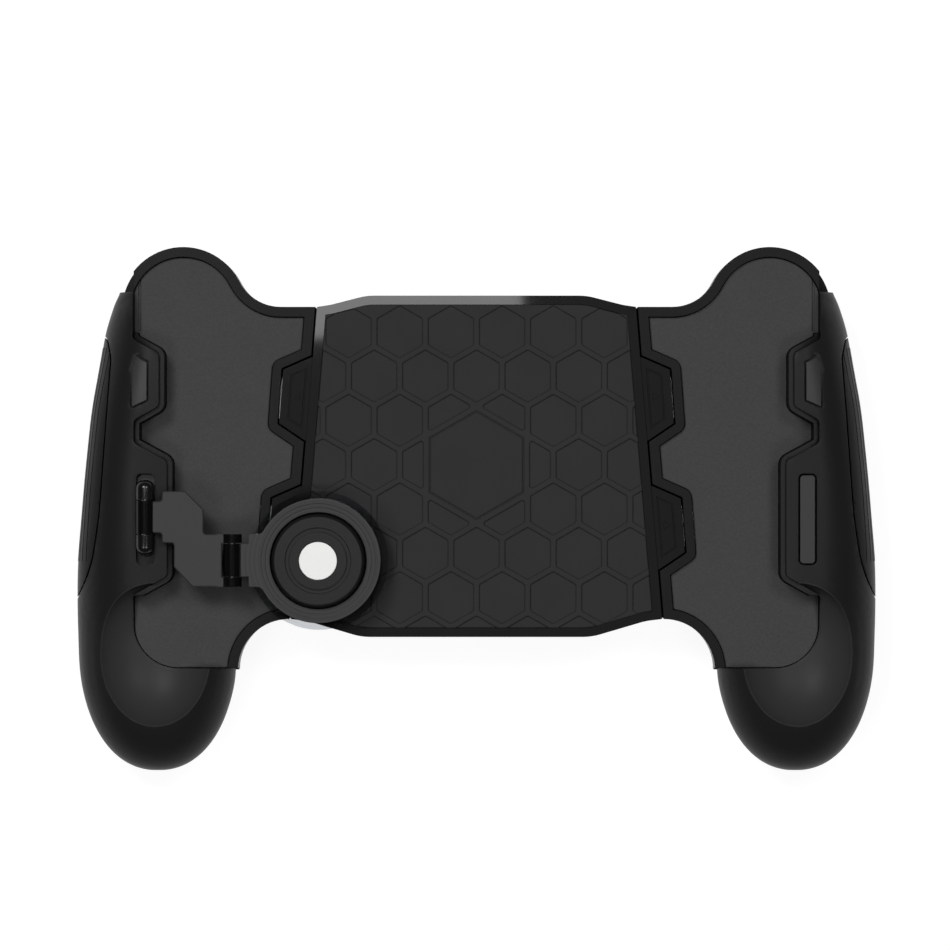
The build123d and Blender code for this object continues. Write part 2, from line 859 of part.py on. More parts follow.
# Front shell of the grip: hollow behind the bay wall, with screw posts and room for the arm's slot
wall_line = drawn(bay, -clearance)
with BuildPart() as front_room:
    add(grip_hollow)
    inside_low = (wing_blend_x, far_low_y, parting_z - overrun)
    inside_high = (far_x, grip_top_y - bay_wall, far_z)
    add(box_between(inside_low, inside_high), mode=Mode.INTERSECT)
    add(slab(drawn(bay, bay_wall), parting_z - 2 * overrun, far_z + overrun), mode=Mode.SUBTRACT)
    add(scoop_shell.part.moved(scoop_place), mode=Mode.SUBTRACT)
with BuildPart() as front_posts:
    for x, y in grip_screw_spots:
        add(post(x, y, boss_radius, parting_z + seat_gap, far_z))
    add(inlay_skin, mode=Mode.INTERSECT)
with BuildSketch() as slot_shape:
    with Locations((slot_x, slot_y)):
        RectangleRounded(slot_width, slot_length, slot_round)
with BuildSketch() as trim_shape:
    with BuildLine():
        Polyline(
            (trim_inner_x, trim_inner_low_y),
            (trim_outer_x, trim_outer_low_y),
            (trim_outer_x, trim_outer_top_y),
            (trim_inner_x, trim_inner_top_y),
            close=True,
        )
    make_face()
    fillet(trim_shape.vertices(), radius=trim_round)
with BuildPart() as grip_half:
    add(grip_skin)
    half_low = (wing_blend_x, far_low_y, parting_z)
    half_high = (far_x, grip_top_y, far_z)
    add(box_between(half_low, half_high), mode=Mode.INTERSECT)
    add(slab(bay, parting_z - overrun, far_z + overrun), mode=Mode.SUBTRACT)
    add(front_room.part, mode=Mode.SUBTRACT)
    add(front_posts.part)
    for x, y in grip_screw_spots:
        pilot_top_z = grip_screw_base_z + grip_screw_length + pilot_run
        add(post(x, y, screw_radius + seat_gap, parting_z, pilot_top_z), mode=Mode.SUBTRACT)
    add(slab(trim_shape.sketch, trim_seat_z, far_z), mode=Mode.SUBTRACT)
    add(scoop_shape.part.moved(scoop_place), mode=Mode.SUBTRACT)
    add(inlay_pocket.part, mode=Mode.SUBTRACT)
with BuildPart() as right_grip_front:
    add(grip_half.part)
    add(slab(slot_shape.sketch, bay_floor_z, far_z), mode=Mode.SUBTRACT)
right_grip_front.part.label = "right_grip_front"
export_step(right_grip_front.part, "parts/right_grip_front.step")

# Plan of the padded wall's liner
with BuildSketch() as liner_shape:
    add(drawn(bay, -seat_gap))
    add(drawn(bay, -seat_gap - liner_thickness), mode=Mode.SUBTRACT)
    with Locations(((wing_tail_x + far_x) / 2, (lower_notch_y + liner_top_y) / 2)):
        Rectangle(far_x - wing_tail_x, liner_top_y - lower_notch_y, mode=Mode.INTERSECT)

# Grey plate that the phone's back rests on, beside the liner, with posts for its three screws
with BuildSketch() as plate_shape:
    add(drawn(long_wing, -rim_width - clearance))
    add(wall_line, mode=Mode.INTERSECT)
    add(drawn(liner_shape.sketch, clearance), mode=Mode.SUBTRACT)
    for notch_wall in notch_rims:
        add(drawn(notch_wall, clearance), mode=Mode.SUBTRACT)
with BuildPart() as right_face_plate:
    add(slab(plate_shape.sketch, plate_low_z + seat_gap, bay_floor_z))
    for x, y in plate_screw_spots:
        add(post(x, y, head_hole_radius, parting_z + seat_gap, bay_floor_z))
        pilot_top_z = bay_floor_z - face_plate_thickness / 2
        add(post(x, y, screw_radius + seat_gap, parting_z, pilot_top_z), mode=Mode.SUBTRACT)
    groove_low = (tip_groove_x, tip_groove_low_y, bay_floor_z - tip_groove_depth)
    groove_high = (tip_groove_x + tip_groove_width, far_y, rim_z)
    add(box_between(groove_low, groove_high), mode=Mode.SUBTRACT)
right_face_plate.part.label = "right_face_plate"
export_step(right_face_plate.part, "parts/right_face_plate.step")

# Rubber liner along the bay wall that grips the phone's edge
with BuildPart() as right_clamp_liner:
    add(slab(liner_shape.sketch, plate_low_z + seat_gap, liner_top_z))
    add(inlay_skin, mode=Mode.INTERSECT)
right_clamp_liner.part.label = "right_clamp_liner"
export_step(right_clamp_liner.part, "parts/right_clamp_liner.step")

# Ribbed rubber inlay round the outer side
with BuildPart() as right_side_inlay:
    add(grip_skin)
    add(slab(inlay_plan, inlay_low_z, far_z), mode=Mode.INTERSECT)
    add(inlay_skin, mode=Mode.SUBTRACT)
right_side_inlay.part.label = "right_side_inlay"
export_step(right_side_inlay.part, "parts/right_side_inlay.step")

# Smooth trim pad let into the face
with BuildPart() as right_trim_pad:
    add(slab(drawn(trim_shape.sketch, -trim_fit), trim_seat_z + seat_gap, far_z))
    add(grip_skin, mode=Mode.INTERSECT)
right_trim_pad.part.label = "right_trim_pad"
export_step(right_trim_pad.part, "parts/right_trim_pad.step")

# Cover that fills the unused arm slot
with BuildPart() as right_slot_cover:
    add(slab(drawn(slot_shape.sketch, -slot_fit), slot_pad_low_z, slot_cover_z))
    add(slab(drawn(slot_shape.sketch, slot_lip), slot_pad_low_z, slot_lip_z - seat_gap))
right_slot_cover.part.label = "right_slot_cover"
export_step(right_slot_cover.part, "parts/right_slot_cover.step")

# Slide tongue: a steel fork with a post for its spring
def slide_tongue(hook_y):
    """Fork of the right handle, with its spring post at hook_y."""
    arm = tongue_arm_width / 2
    with BuildPart() as fork:
        fork_low = (tongue_inner_x, tongue_lower_y - arm, tongue_low_z)
        add(box_between(fork_low, (tongue_outer_x, tongue_upper_y + arm, tongue_top_z)))
        window_low = (tongue_inner_x + tongue_bridge, tongue_lower_y + arm, 0)
        window_high = (tongue_outer_x - tongue_bridge, tongue_upper_y - arm, far_z)
        add(box_between(window_low, window_high), mode=Mode.SUBTRACT)
        for y in (tongue_upper_y, tongue_lower_y):
            add(post(tongue_hole_x, y, tongue_hole_radius, 0, far_z), mode=Mode.SUBTRACT)
        hook_x = tongue_inner_x + tongue_bridge / 2
        add(post(hook_x, hook_y, tongue_post_radius, tongue_top_z, tongue_post_top_z))
    return fork.part


with BuildPart() as right_slide_tongue:
    add(slide_tongue(spring_right_y))
right_slide_tongue.part.label = "right_slide_tongue"
export_step(right_slide_tongue.part, "parts/right_slide_tongue.step")

# Screws of the handle: plate, grip and tongue screws
with BuildPart() as right_handle_screws:
    for x, y in plate_screw_spots:
        head_seat_z = wing_rear_z + centre_head_depth - seat_gap
        add(screw(x, y, head_seat_z, plate_screw_length))
    for x, y in grip_screw_spots:
        add(screw(x, y, grip_screw_base_z - seat_gap, grip_screw_length))
    for y in (tongue_upper_y, tongue_lower_y):
        head_low_z = tongue_top_z + seat_gap
        add(post(tongue_hole_x, y, screw_head_radius, head_low_z, head_low_z + screw_head_height))
        add(post(tongue_hole_x, y, screw_radius, tray_low_z, head_low_z))
right_handle_screws.part.label = "right_handle_screws"
export_step(right_handle_screws.part, "parts/right_handle_screws.step")

# Left half: the same pieces seen in the mirror
mirrored = {
    "handle_back": right_handle_back,
    "grip_front": right_grip_front,
    "face_plate": right_face_plate,
    "clamp_liner": right_clamp_liner,
    "side_inlay": right_side_inlay,
    "trim_pad": right_trim_pad,
    "handle_screws": right_handle_screws,
}
for piece_name, piece in mirrored.items():
    with BuildPart() as left_piece:
        mirror(piece.part, about=Plane.YZ)
    left_piece.part.label = "left_" + piece_name
    export_step(left_piece.part, f"parts/left_{piece_name}.step")
with BuildPart() as left_slide_tongue:
    mirror(slide_tongue(spring_left_y), about=Plane.YZ)
left_slide_tongue.part.label = "left_slide_tongue"
export_step(left_slide_tongue.part, "parts/left_slide_tongue.step")


# Return springs: a coil from the centre's anchor to the post of the tongue
def return_spring(y):
    """Coil along X above the tongues, with a straight leg beside each post."""
    hook_x = tongue_inner_x + tongue_bridge / 2
    coil_start = -spring_anchor_x + spring_leg
    coil_length = hook_x - spring_leg - coil_start
    coil_path = Helix(
        pitch=coil_length / spring_turns,
        height=coil_length,
        radius=spring_radius,
        center=(coil_start, y, spring_axis_z),
        direction=(1, 0, 0),
    )
    with BuildPart() as spring:
        with BuildSketch(Plane(origin=coil_path @ 0, z_dir=coil_path % 0)):
            Circle(spring_wire_radius)
        sweep(path=coil_path)
        start = coil_path @ 0
        for leg_end, leg_start in ((-spring_anchor_x, start.X), (hook_x, coil_start + coil_length)):
            low_x = min(leg_end, leg_start) - spring_wire_radius
            high_x = max(leg_end, leg_start) + spring_wire_radius
            with BuildSketch(Plane.YZ.offset(low_x)):
                with Locations((start.Y, start.Z)):
                    Circle(spring_wire_radius)
            extrude(amount=high_x - low_x)
    return spring.part


with BuildPart() as right_spring:
    add(return_spring(spring_right_y))
right_spring.part.label = "right_spring"
export_step(right_spring.part, "parts/right_spring.step")
with BuildPart() as left_spring:
    mirror(return_spring(spring_left_y), about=Plane.YZ)
left_spring.part.label = "left_spring"
export_step(left_spring.part, "parts/left_spring.step")

# Stick arm, modelled like the right half and mirrored onto the left grip at the end
arm_x = slot_x
arm_barrel_top_y = arm_hinge_y + arm_barrel_length / 2
arm_barrel_low_y = arm_hinge_y - arm_barrel_length / 2
arm_bore = arm_pin_radius + pin_fit


def rounded_knuckle(end_y, inner_y):
    """Outer knuckle of the first hinge, with a rounded end away from the arm."""
    low_y, top_y = sorted((end_y, inner_y))
    with BuildPart() as knuckle:
        add(rod_along_y(arm_x, stick_axis_z, arm_barrel_radius, low_y, top_y))
        ends = knuckle.edges().filter_by(GeomType.CIRCLE).sort_by(Axis.Y)
        fillet(ends[0] if end_y < inner_y else ends[-1], radius=knuckle_round)
    return knuckle.part


# Carriage that slides in the slot and holds the two outer knuckles of the first hinge
carriage_width = slot_width - 2 * clearance
pad_length = carriage_pad_top_y - carriage_pad_low_y
with BuildPart() as carriage:
    with BuildSketch() as carriage_shape:
        with Locations((arm_x, arm_hinge_y)):
            SlotOverall(arm_barrel_length, carriage_width, rotation=90)
    with BuildSketch() as carriage_pad:
        with Locations((arm_x, (carriage_pad_top_y + carriage_pad_low_y) / 2)):
            SlotOverall(pad_length, slot_width + 2 * slot_lip, rotation=90)
    add(slab(carriage_shape.sketch, slot_pad_low_z, carriage_top_z))
    add(slab(carriage_pad.sketch, slot_pad_low_z, slot_lip_z - seat_gap))
    knuckles = (
        (arm_barrel_low_y, arm_knuckle_low_y - knuckle_gap, 1),
        (arm_barrel_top_y, arm_knuckle_top_y + knuckle_gap, -1),
    )
    for end_y, inner_y, way in knuckles:
        add(rounded_knuckle(end_y, inner_y))
        low_y, top_y = sorted((end_y + way * arm_barrel_radius, inner_y))
        web_x = carriage_width / 2
        web_low = (arm_x - web_x, low_y, carriage_top_z - overrun)
        add(box_between(web_low, (arm_x + web_x, top_y, stick_axis_z)))
    add(
        rod_along_y(
            arm_x, stick_axis_z, arm_bore, arm_barrel_low_y + slot_round, arm_barrel_top_y - slot_round
        ),
        mode=Mode.SUBTRACT,
    )

# Pin of the first hinge
with BuildPart() as arm_pin_shape:
    pin_room = slot_round + knuckle_gap
    add(
        rod_along_y(
            arm_x,
            stick_axis_z,
            arm_pin_radius,
            arm_barrel_low_y + pin_room,
            arm_barrel_top_y - pin_room,
        )
    )

# Arm plate with a knuckle at its root and two at its end
with BuildPart() as arm_plate_shape:
    with BuildSketch(Plane.XY.offset(arm_low_z)) as arm_outline:
        with BuildLine():
            Polyline(
                (arm_x, arm_root_top_y),
                (arm_root_x, arm_root_top_y),
                (arm_root_x, arm_back_top_y),
                (arm_shoulder_x, arm_back_top_y),
                (arm_waist_x, arm_waist_y),
                (arm_waist_x, stick_hinge_top_y),
                (arm_end_x, stick_hinge_top_y),
                (arm_end_x, stick_hinge_low_y),
                (arm_low_x, stick_hinge_low_y),
                (arm_elbow_x, arm_elbow_y),
                (arm_elbow_x, arm_back_low_y),
                (arm_root_x, arm_back_low_y),
                (arm_root_x, arm_root_low_y),
                (arm_x, arm_root_low_y),
                close=True,
            )
        make_face()
        bends = [
            corner
            for corner in arm_outline.vertices()
            if arm_end_x + clearance < corner.X < arm_x - clearance
        ]
        fillet(bends, radius=arm_round)
    extrude(amount=arm_top_z - arm_low_z)
    arm_rims = arm_plate_shape.faces().filter_by(Plane.XY).sort_by(Axis.Z)[-1].edges()
    chamfer(arm_rims, length=arm_chamfer)
    add(
        rod_along_y(arm_x, stick_axis_z, arm_barrel_radius, arm_knuckle_low_y, arm_knuckle_top_y)
    )
    end_knuckles = (
        (stick_hinge_low_y, stick_knuckle_low_y - knuckle_gap),
        (stick_knuckle_top_y + knuckle_gap, stick_hinge_top_y),
    )
    for low_y, top_y in end_knuckles:
        add(rod_along_y(stick_hinge_x, stick_axis_z, stick_barrel_radius, low_y, top_y))
        link_high = (arm_end_x + overrun, top_y, arm_top_z)
        add(box_between((stick_hinge_x, low_y, arm_low_z), link_high))
    add(rod_along_y(arm_x, stick_axis_z, arm_bore, far_low_y, far_y), mode=Mode.SUBTRACT)
    stick_pin_low_y = stick_hinge_low_y + pin_room
    stick_pin_top_y = stick_hinge_top_y - pin_room
    add(
        rod_along_y(
            stick_hinge_x,
            stick_axis_z,
            arm_bore,
            stick_hinge_low_y + slot_round,
            stick_hinge_top_y - slot_round,
        ),
        mode=Mode.SUBTRACT,
    )

# Pin of the second hinge
with BuildPart() as stick_pin_shape:
    add(
        rod_along_y(
            stick_hinge_x, stick_axis_z, arm_pin_radius, stick_pin_low_y, stick_pin_top_y
        )
    )

stick_far_z = stick_axis_z + cap_top + overrun

# Holder of the stick: knuckle, neck, stepped ring, floor and the two posts of the gimbal
with BuildPart() as holder_shape:
    with BuildSketch() as holder_arm:
        arm_length = holder_neck_x - stick_x
        hinge_width = stick_hinge_top_y - stick_hinge_low_y
        with Locations((stick_x + arm_length / 2, (stick_hinge_top_y + stick_hinge_low_y) / 2)):
            Rectangle(arm_length, hinge_width)
        with Locations((stick_x, stick_y)):
            Circle(holder_radius)
        inner_corners = [
            corner
            for corner in holder_arm.vertices()
            if hypot(corner.X - stick_x, corner.Y - stick_y) < holder_radius + clearance
            and corner.X > stick_x
        ]
        fillet(inner_corners, radius=holder_fillet)
    add(slab(holder_arm.sketch, holder_arm_low_z, holder_top_z))
    add(post(stick_x, stick_y, holder_radius, holder_low_z, holder_top_z))
    neck_low = (holder_neck_x - overrun, stick_knuckle_low_y, holder_neck_low_z)
    neck_high = (stick_hinge_x, stick_knuckle_top_y, holder_top_z)
    add(box_between(neck_low, neck_high))
    add(
        rod_along_y(
            stick_hinge_x,
            stick_axis_z,
            stick_knuckle_radius,
            stick_knuckle_low_y,
            stick_knuckle_top_y,
        )
    )
    add(
        rod_along_y(stick_hinge_x, stick_axis_z, arm_bore, far_low_y, far_y),
        mode=Mode.SUBTRACT,
    )
    floor_z = holder_low_z + holder_floor
    add(post(stick_x, stick_y, holder_bore, floor_z, stick_far_z), mode=Mode.SUBTRACT)
    add(post(stick_x, stick_y, holder_hole, 0, far_z), mode=Mode.SUBTRACT)
    for step, radius in enumerate(holder_step_radii):
        depth = holder_step_depth * (len(holder_step_radii) - step)
        add(
            post(stick_x, stick_y, radius, holder_top_z - depth, holder_top_z + overrun),
            mode=Mode.SUBTRACT,
        )
    for side in (-1, 1):
        middle_x = stick_x + side * (post_inner + post_outer) / 2
        with Locations((middle_x, stick_y, (holder_low_z + stick_axis_z + post_top) / 2)):
            Box(post_outer - post_inner, post_width, stick_axis_z + post_top - holder_low_z)
    with Locations((stick_x, stick_y, stick_axis_z)):
        Cylinder(
            trunnion_radius + trunnion_fit,
            2 * (post_outer + clearance),
            rotation=(0, 90, 0),
            mode=Mode.SUBTRACT,
        )

# Clear ring under the holder, seen as a pale edge round it
with BuildPart() as base_ring_shape:
    add(post(stick_x, stick_y, base_ring_radius, base_ring_low_z, base_ring_lip_z))
    add(post(stick_x, stick_y, base_ring_bore, 0, far_z), mode=Mode.SUBTRACT)
    add(
        post(stick_x, stick_y, base_ring_lip_bore, holder_low_z - seat_gap, far_z),
        mode=Mode.SUBTRACT,
    )

# Gimbal ring, which tilts on two trunnions along X
with BuildPart() as gimbal_shape:
    with Locations((stick_x, stick_y, stick_axis_z)):
        Cylinder(gimbal_outer, 2 * gimbal_half_height)
        Cylinder(gimbal_inner, 2 * gimbal_half_height, mode=Mode.SUBTRACT)
        for side in (-1, 1):
            trunnion_length = post_outer - gimbal_outer + gimbal_half_height / 2
            with Locations((side * (post_outer - trunnion_length / 2), 0, 0)):
                Cylinder(trunnion_radius, trunnion_length, rotation=(0, 90, 0))
        Cylinder(
            trunnion_radius + trunnion_fit,
            2 * (gimbal_outer + overrun),
            rotation=(90, 0, 0),
            mode=Mode.SUBTRACT,
        )

# Stem, which tilts in the gimbal on two trunnions along Y and carries the cap
stem_low = stick_axis_z - foot_low_z - foot_height
with BuildPart() as stem_shape:
    with Locations((stick_x, stick_y, stick_axis_z)):
        with Locations((0, 0, (cap_roof - stem_neck) / 2)):
            Cylinder(stem_radius, cap_roof + stem_neck - 2 * seat_gap)
        with Locations((0, 0, -stem_low / 2)):
            Cylinder(stem_low_radius, stem_low)
        Cylinder(trunnion_radius, 2 * gimbal_outer, rotation=(90, 0, 0))
        Cylinder(rod_radius + seat_gap, 2 * (stem_low + overrun), mode=Mode.SUBTRACT)

# Cap: a slice of a sphere about the pivot, hollow below, with a groove round its plateau
with BuildPart() as cap_shape:
    with Locations((stick_x, stick_y, stick_axis_z)):
        Sphere(cap_sphere_radius)
        with Locations((0, 0, (cap_top - cap_low) / 2)):
            Box(
                2 * cap_sphere_radius,
                2 * cap_sphere_radius,
                cap_top + cap_low,
                mode=Mode.INTERSECT,
            )
    with BuildSketch(Plane.XZ.offset(-stick_y)) as cavity:
        with Locations((stick_x, stick_axis_z)):
            Circle(cap_cavity_radius)
        with Locations((stick_x, stick_axis_z - cap_cavity_radius / 2)):
            Rectangle(2 * cap_cavity_radius, cap_cavity_radius + 2 * cap_roof, mode=Mode.INTERSECT)
        split(bisect_by=Plane.YZ.offset(stick_x), keep=Keep.TOP)
    revolve(axis=Axis((stick_x, stick_y, 0), (0, 0, 1)), mode=Mode.SUBTRACT)
    cap_top_z = stick_axis_z + cap_top
    groove_outer = cap_plateau_radius + cap_groove_width
    with BuildSketch(Plane.XY.offset(cap_top_z)):
        with Locations((stick_x, stick_y)):
            Circle(groove_outer)
            Circle(cap_plateau_radius, mode=Mode.SUBTRACT)
    extrude(amount=-cap_groove_depth, mode=Mode.SUBTRACT)
    seat_z = cap_top_z - contact_thickness
    add(post(stick_x, stick_y, contact_radius + seat_gap, seat_z, stick_far_z), mode=Mode.SUBTRACT)
    add(post(stick_x, stick_y, rod_radius + seat_gap, 0, stick_far_z), mode=Mode.SUBTRACT)

# Contact disc in the cap, its rod and the soft foot that touches the screen
with BuildPart() as contact_shape:
    add(
        post(stick_x, stick_y, contact_radius, seat_z + seat_gap, cap_top_z)
    )
with BuildPart() as rod_shape:
    rod_low_z = foot_low_z + foot_height / 2
    add(post(stick_x, stick_y, rod_radius, rod_low_z, seat_z))
with BuildPart() as foot_shape:
    add(post(stick_x, stick_y, foot_radius, foot_low_z, foot_low_z + foot_height - seat_gap))
    fillet(foot_shape.faces().sort_by(Axis.Z)[0].edges(), radius=foot_round)
    add(post(stick_x, stick_y, rod_radius + seat_gap, rod_low_z, far_z), mode=Mode.SUBTRACT)

# Coil that centres the stick, between the holder's floor and the cap's roof
coil_low_z = floor_z + coil_wire_radius + seat_gap
coil_height = stick_axis_z + cap_roof - coil_wire_radius - seat_gap - coil_low_z
coil_path = Helix(
    pitch=coil_height / coil_turns,
    height=coil_height,
    radius=coil_mean_radius,
    center=(stick_x, stick_y, coil_low_z),
)
with BuildPart() as coil_shape:
    with BuildSketch(Plane(origin=coil_path @ 0, z_dir=coil_path % 0)):
        Circle(coil_wire_radius)
    sweep(path=coil_path)

arm_pieces = {
    "arm_carriage": carriage,
    "arm_pin": arm_pin_shape,
    "arm_plate": arm_plate_shape,
    "stick_pin": stick_pin_shape,
    "stick_holder": holder_shape,
    "clear_base_ring": base_ring_shape,
    "gimbal_ring": gimbal_shape,
    "stick_stem": stem_shape,
    "stick_cap": cap_shape,
    "contact_disc": contact_shape,
    "contact_rod": rod_shape,
    "conductive_foot": foot_shape,
    "centring_spring": coil_shape,
}
for piece_name, piece in arm_pieces.items():
    with BuildPart() as arm_piece:
        mirror(piece.part, about=Plane.YZ)
    arm_piece.part.label = piece_name
    export_step(arm_piece.part, f"parts/{piece_name}.step")
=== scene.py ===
"""Looks of a telescopic phone grip with a hinged thumb stick, lying on a pale floor.

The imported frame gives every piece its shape, size and place. This script gives each of them
a softened edge and a procedural finish, adds the ribs of the rubber inlays, and sets up the
camera and the studio light of the photograph.
"""

from __future__ import annotations

import logging
import math
from collections.abc import Iterable, Sequence
from dataclasses import dataclass, field
from enum import Enum

import bmesh
import bpy
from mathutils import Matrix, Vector

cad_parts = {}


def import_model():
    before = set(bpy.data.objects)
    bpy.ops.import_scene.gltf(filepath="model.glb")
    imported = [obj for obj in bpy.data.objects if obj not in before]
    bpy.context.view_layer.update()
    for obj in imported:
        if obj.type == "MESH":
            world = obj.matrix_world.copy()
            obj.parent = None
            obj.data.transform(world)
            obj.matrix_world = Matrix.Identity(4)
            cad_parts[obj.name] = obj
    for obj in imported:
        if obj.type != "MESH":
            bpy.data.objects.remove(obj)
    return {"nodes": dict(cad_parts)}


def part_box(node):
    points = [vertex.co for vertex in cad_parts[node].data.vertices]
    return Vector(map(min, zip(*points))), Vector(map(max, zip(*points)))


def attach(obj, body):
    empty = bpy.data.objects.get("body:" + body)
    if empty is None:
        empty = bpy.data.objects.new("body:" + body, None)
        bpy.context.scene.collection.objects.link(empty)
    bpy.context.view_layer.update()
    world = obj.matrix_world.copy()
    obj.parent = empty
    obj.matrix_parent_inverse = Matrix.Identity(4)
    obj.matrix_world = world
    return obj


log = logging.getLogger("scene")

MM = 0.001
PHOTO_PX = 950
PX_MM = 0.19552
PHOTO_ORIGIN_PX = (476.5, 509.0)
# The frame's meshes have split corners; points closer than this are one
WELD_MM = 0.002

Colour = tuple[float, float, float, float]


class Side(Enum):
    """The two handles, with the sign of their X."""

    LEFT = -1
    RIGHT = 1

    @property
    def prefix(self) -> str:
        """Start of the names of this handle's nodes."""
        return self.name.lower()


class Texture(Enum):
    """How a surface was made, which gives its fine relief."""

    POLISHED = "polished mould"
    SANDED = "spark-eroded mould"
    SOFT_TOUCH = "soft-touch coat"
    TURNED = "turned mould"
    PLATED = "plated metal"


def hex_rgb(code: str) -> Colour:
    """Turn an sRGB hex colour into Blender's linear colour.

    Args:
        code: Six hex digits, with or without a hash mark.

    Returns:
        Red, green, blue and alpha, linear.
    """
    digits = code.lstrip("#")
    channels = []
    for start in (0, 2, 4):
        value = int(digits[start : start + 2], 16) / 255
        channels.append(value / 12.92 if value <= 0.04045 else ((value + 0.055) / 1.055) ** 2.4)
    return (*channels, 1.0)


def by_id(
    sockets: Iterable[bpy.types.NodeSocket], identifier: str
) -> bpy.types.NodeSocket:
    """Find a node's socket by its identifier.

    Args:
        sockets: The node's inputs or outputs.
        identifier: The socket's identifier.

    Returns:
        The socket.
    """
    return next(socket for socket in sockets if socket.identifier == identifier)


def put(
    tree: bpy.types.NodeTree,
    kind: str,
    inputs: dict[str, object] | None = None,
    **settings: object,
) -> bpy.types.Node:
    """Add a node, set it and link it.

    Args:
        tree: The tree that gets the node.
        kind: The node's type.
        inputs: By an input's identifier, its value or the socket that feeds it.
        settings: The node's own attributes.

    Returns:
        The node.
    """
    node = tree.nodes.new(kind)
    for name, value in settings.items():
        setattr(node, name, value)
    for identifier, value in (inputs or {}).items():
        socket = by_id(node.inputs, identifier)
        if isinstance(value, bpy.types.NodeSocket):
            tree.links.new(value, socket)
        else:
            socket.default_value = value
    return node


def union(
    tree: bpy.types.NodeTree, masks: Sequence[bpy.types.NodeSocket]
) -> bpy.types.NodeSocket | None:
    """Join masks so that the result is one wherever any of them is.

    Args:
        tree: The tree that the masks are in.
        masks: Sockets that run from nought to one.

    Returns:
        The joined mask, or None where there are none to join.
    """
    if not masks:
        return None
    total = masks[0]
    for mask in masks[1:]:
        total = put(
            tree, "ShaderNodeMath", {"Value": total, "Value_001": mask}, operation="MAXIMUM"
        ).outputs[0]
    return total


@dataclass(frozen=True)
class Finish:
    """One surface finish: what the piece is made of and how its surface was made.

    Args:
        name: Name of the material, after what it is.
        colour: Mean sRGB colour as hex.
        fleck: Second sRGB colour that the grain mixes in.
        roughness: Mean roughness.
        texture: How the surface was made.
        grain_mm: Size of one grain.
        relief_mm: Depth of the grain.
        specular: Specular level on the shader.
        metallic: Metal share.
        coat: Clear coat share.
        transmission: Share of light that passes through.
        barrels_mm: X, Z and radius of gloss black hinge barrels along Y.
        wall_z_mm: Below this height the walls are black plastic, which also serves as painted
            shade along the piece's outline.
        turned_xy_mm: Middle of the turned rings.
        edge_mm: Radius of the piece's edges. Nought leaves them sharp and the surface smooth.
        scoops_mm: Middles of the thumb scoops, which are coated grey.
    """

    name: str
    colour: str
    fleck: str
    roughness: float = 0.5
    texture: Texture = Texture.SOFT_TOUCH
    grain_mm: float = 0.25
    relief_mm: float = 0.01
    specular: float = 0.5
    metallic: float = 0.0
    coat: float = 0.0
    transmission: float = 0.0
    barrels_mm: tuple[tuple[float, float, float], ...] = ()
    wall_z_mm: float | None = None
    turned_xy_mm: tuple[float, float] = (0.0, 0.0)
    edge_mm: float = 0.2
    scoops_mm: tuple[tuple[float, float, float], ...] = ()


# X, Z and radius of the two hinge barrels, and the middle of the stick
ARM_AXIS = (-64.34, 28.2, 1.95)
STICK_AXIS = (-47.45, 28.2, 2.0)
STICK_XY = (-30.71, -9.99)

# Soft-touch ABS: a thin rubbery coat that takes the shine off black plastic
GRIP_SHELL = Finish(
    "soft_touch_abs", "1b1b1c", "212122", 0.42, grain_mm=0.12, relief_mm=0.003, specular=0.1,
    scoops_mm=((-62.6, -28.7, 27.0), (62.6, -28.7, 27.0)),
)
# Plain moulded black ABS of the rear shells: deeper black and a little more shine
HANDLE_BACK = Finish(
    "black_abs", "111112", "171718", 0.36, grain_mm=0.2, relief_mm=0.002, specular=0.1,
)
# Painted face plates with an eroded grain, drawn coarser than the real one so that it shows
FACE_PLATE = Finish(
    "grained_grey_abs", "323233", "434344", 0.6, Texture.SANDED, 0.42, 0.02, specular=0.2,
)
# Piano-black bezel: a dull body under a clear gloss that mirrors the lamps sharply
BEZEL = Finish(
    "gloss_black_abs", "0b0b0c", "0f0f10", 0.5, Texture.POLISHED, 0.6, 0.0005, specular=0.1,
    coat=1.0, edge_mm=0.08,
)
# Silicone pad: matt, lighter than the bezel, with soft shoulders on its grooves
PAD = Finish(
    "silicone_pad", "1e1e1f", "252526", 0.7, grain_mm=0.1, relief_mm=0.005, specular=0.3,
    edge_mm=0.35,
)
# Rubber of the clamp liners: nearly black, dull
LINER = Finish(
    "black_rubber", "0f0f10", "161617", 0.55, grain_mm=0.12, relief_mm=0.004, specular=0.2,
)
# Ribbed rubber of the side inlays, a shade darker than the shells
INLAY = Finish(
    "ribbed_rubber", "101011", "161617", 0.4, grain_mm=0.12, relief_mm=0.005, specular=0.06,
)
# Trim pads and slot cover: grey ABS with a finer grain than the plates
TRIM = Finish(
    "satin_grey_abs", "29292a", "323233", 0.45, Texture.SANDED, 0.2, 0.004, specular=0.25,
)
# Stick arm: grey paint on top, black plastic walls that also serve as painted shade along its
# outline, gloss black hinge barrels
ARM = Finish(
    "painted_grey_abs", "2f2f30", "373738", 0.45, Texture.SANDED, 0.2, 0.003, specular=0.2,
    barrels_mm=(ARM_AXIS, STICK_AXIS), wall_z_mm=29.02,
)
# Carriage, gimbal and stem: bare gloss black plastic
CARRIAGE = Finish(
    "gloss_black_polyamide", "0e0e0f", "151516", 0.2, Texture.POLISHED, 0.5, 0.001, specular=0.4,
)
# Ring of the holder: the same grey as the arm with the same painted shade on its walls, and
# faint rings from its turned mould
HOLDER = Finish(
    "turned_grey_abs", "2f2f30", "363637", 0.4, Texture.TURNED, 0.9, 0.004, specular=0.2,
    barrels_mm=(STICK_AXIS,), wall_z_mm=28.55, turned_xy_mm=STICK_XY,
)
# Thumb cap: turned rubber-coated plastic, darker than the ring round it
CAP = Finish(
    "turned_soft_abs", "121213", "19191a", 0.45, Texture.TURNED, 0.5, 0.006, specular=0.2,
    turned_xy_mm=STICK_XY,
)
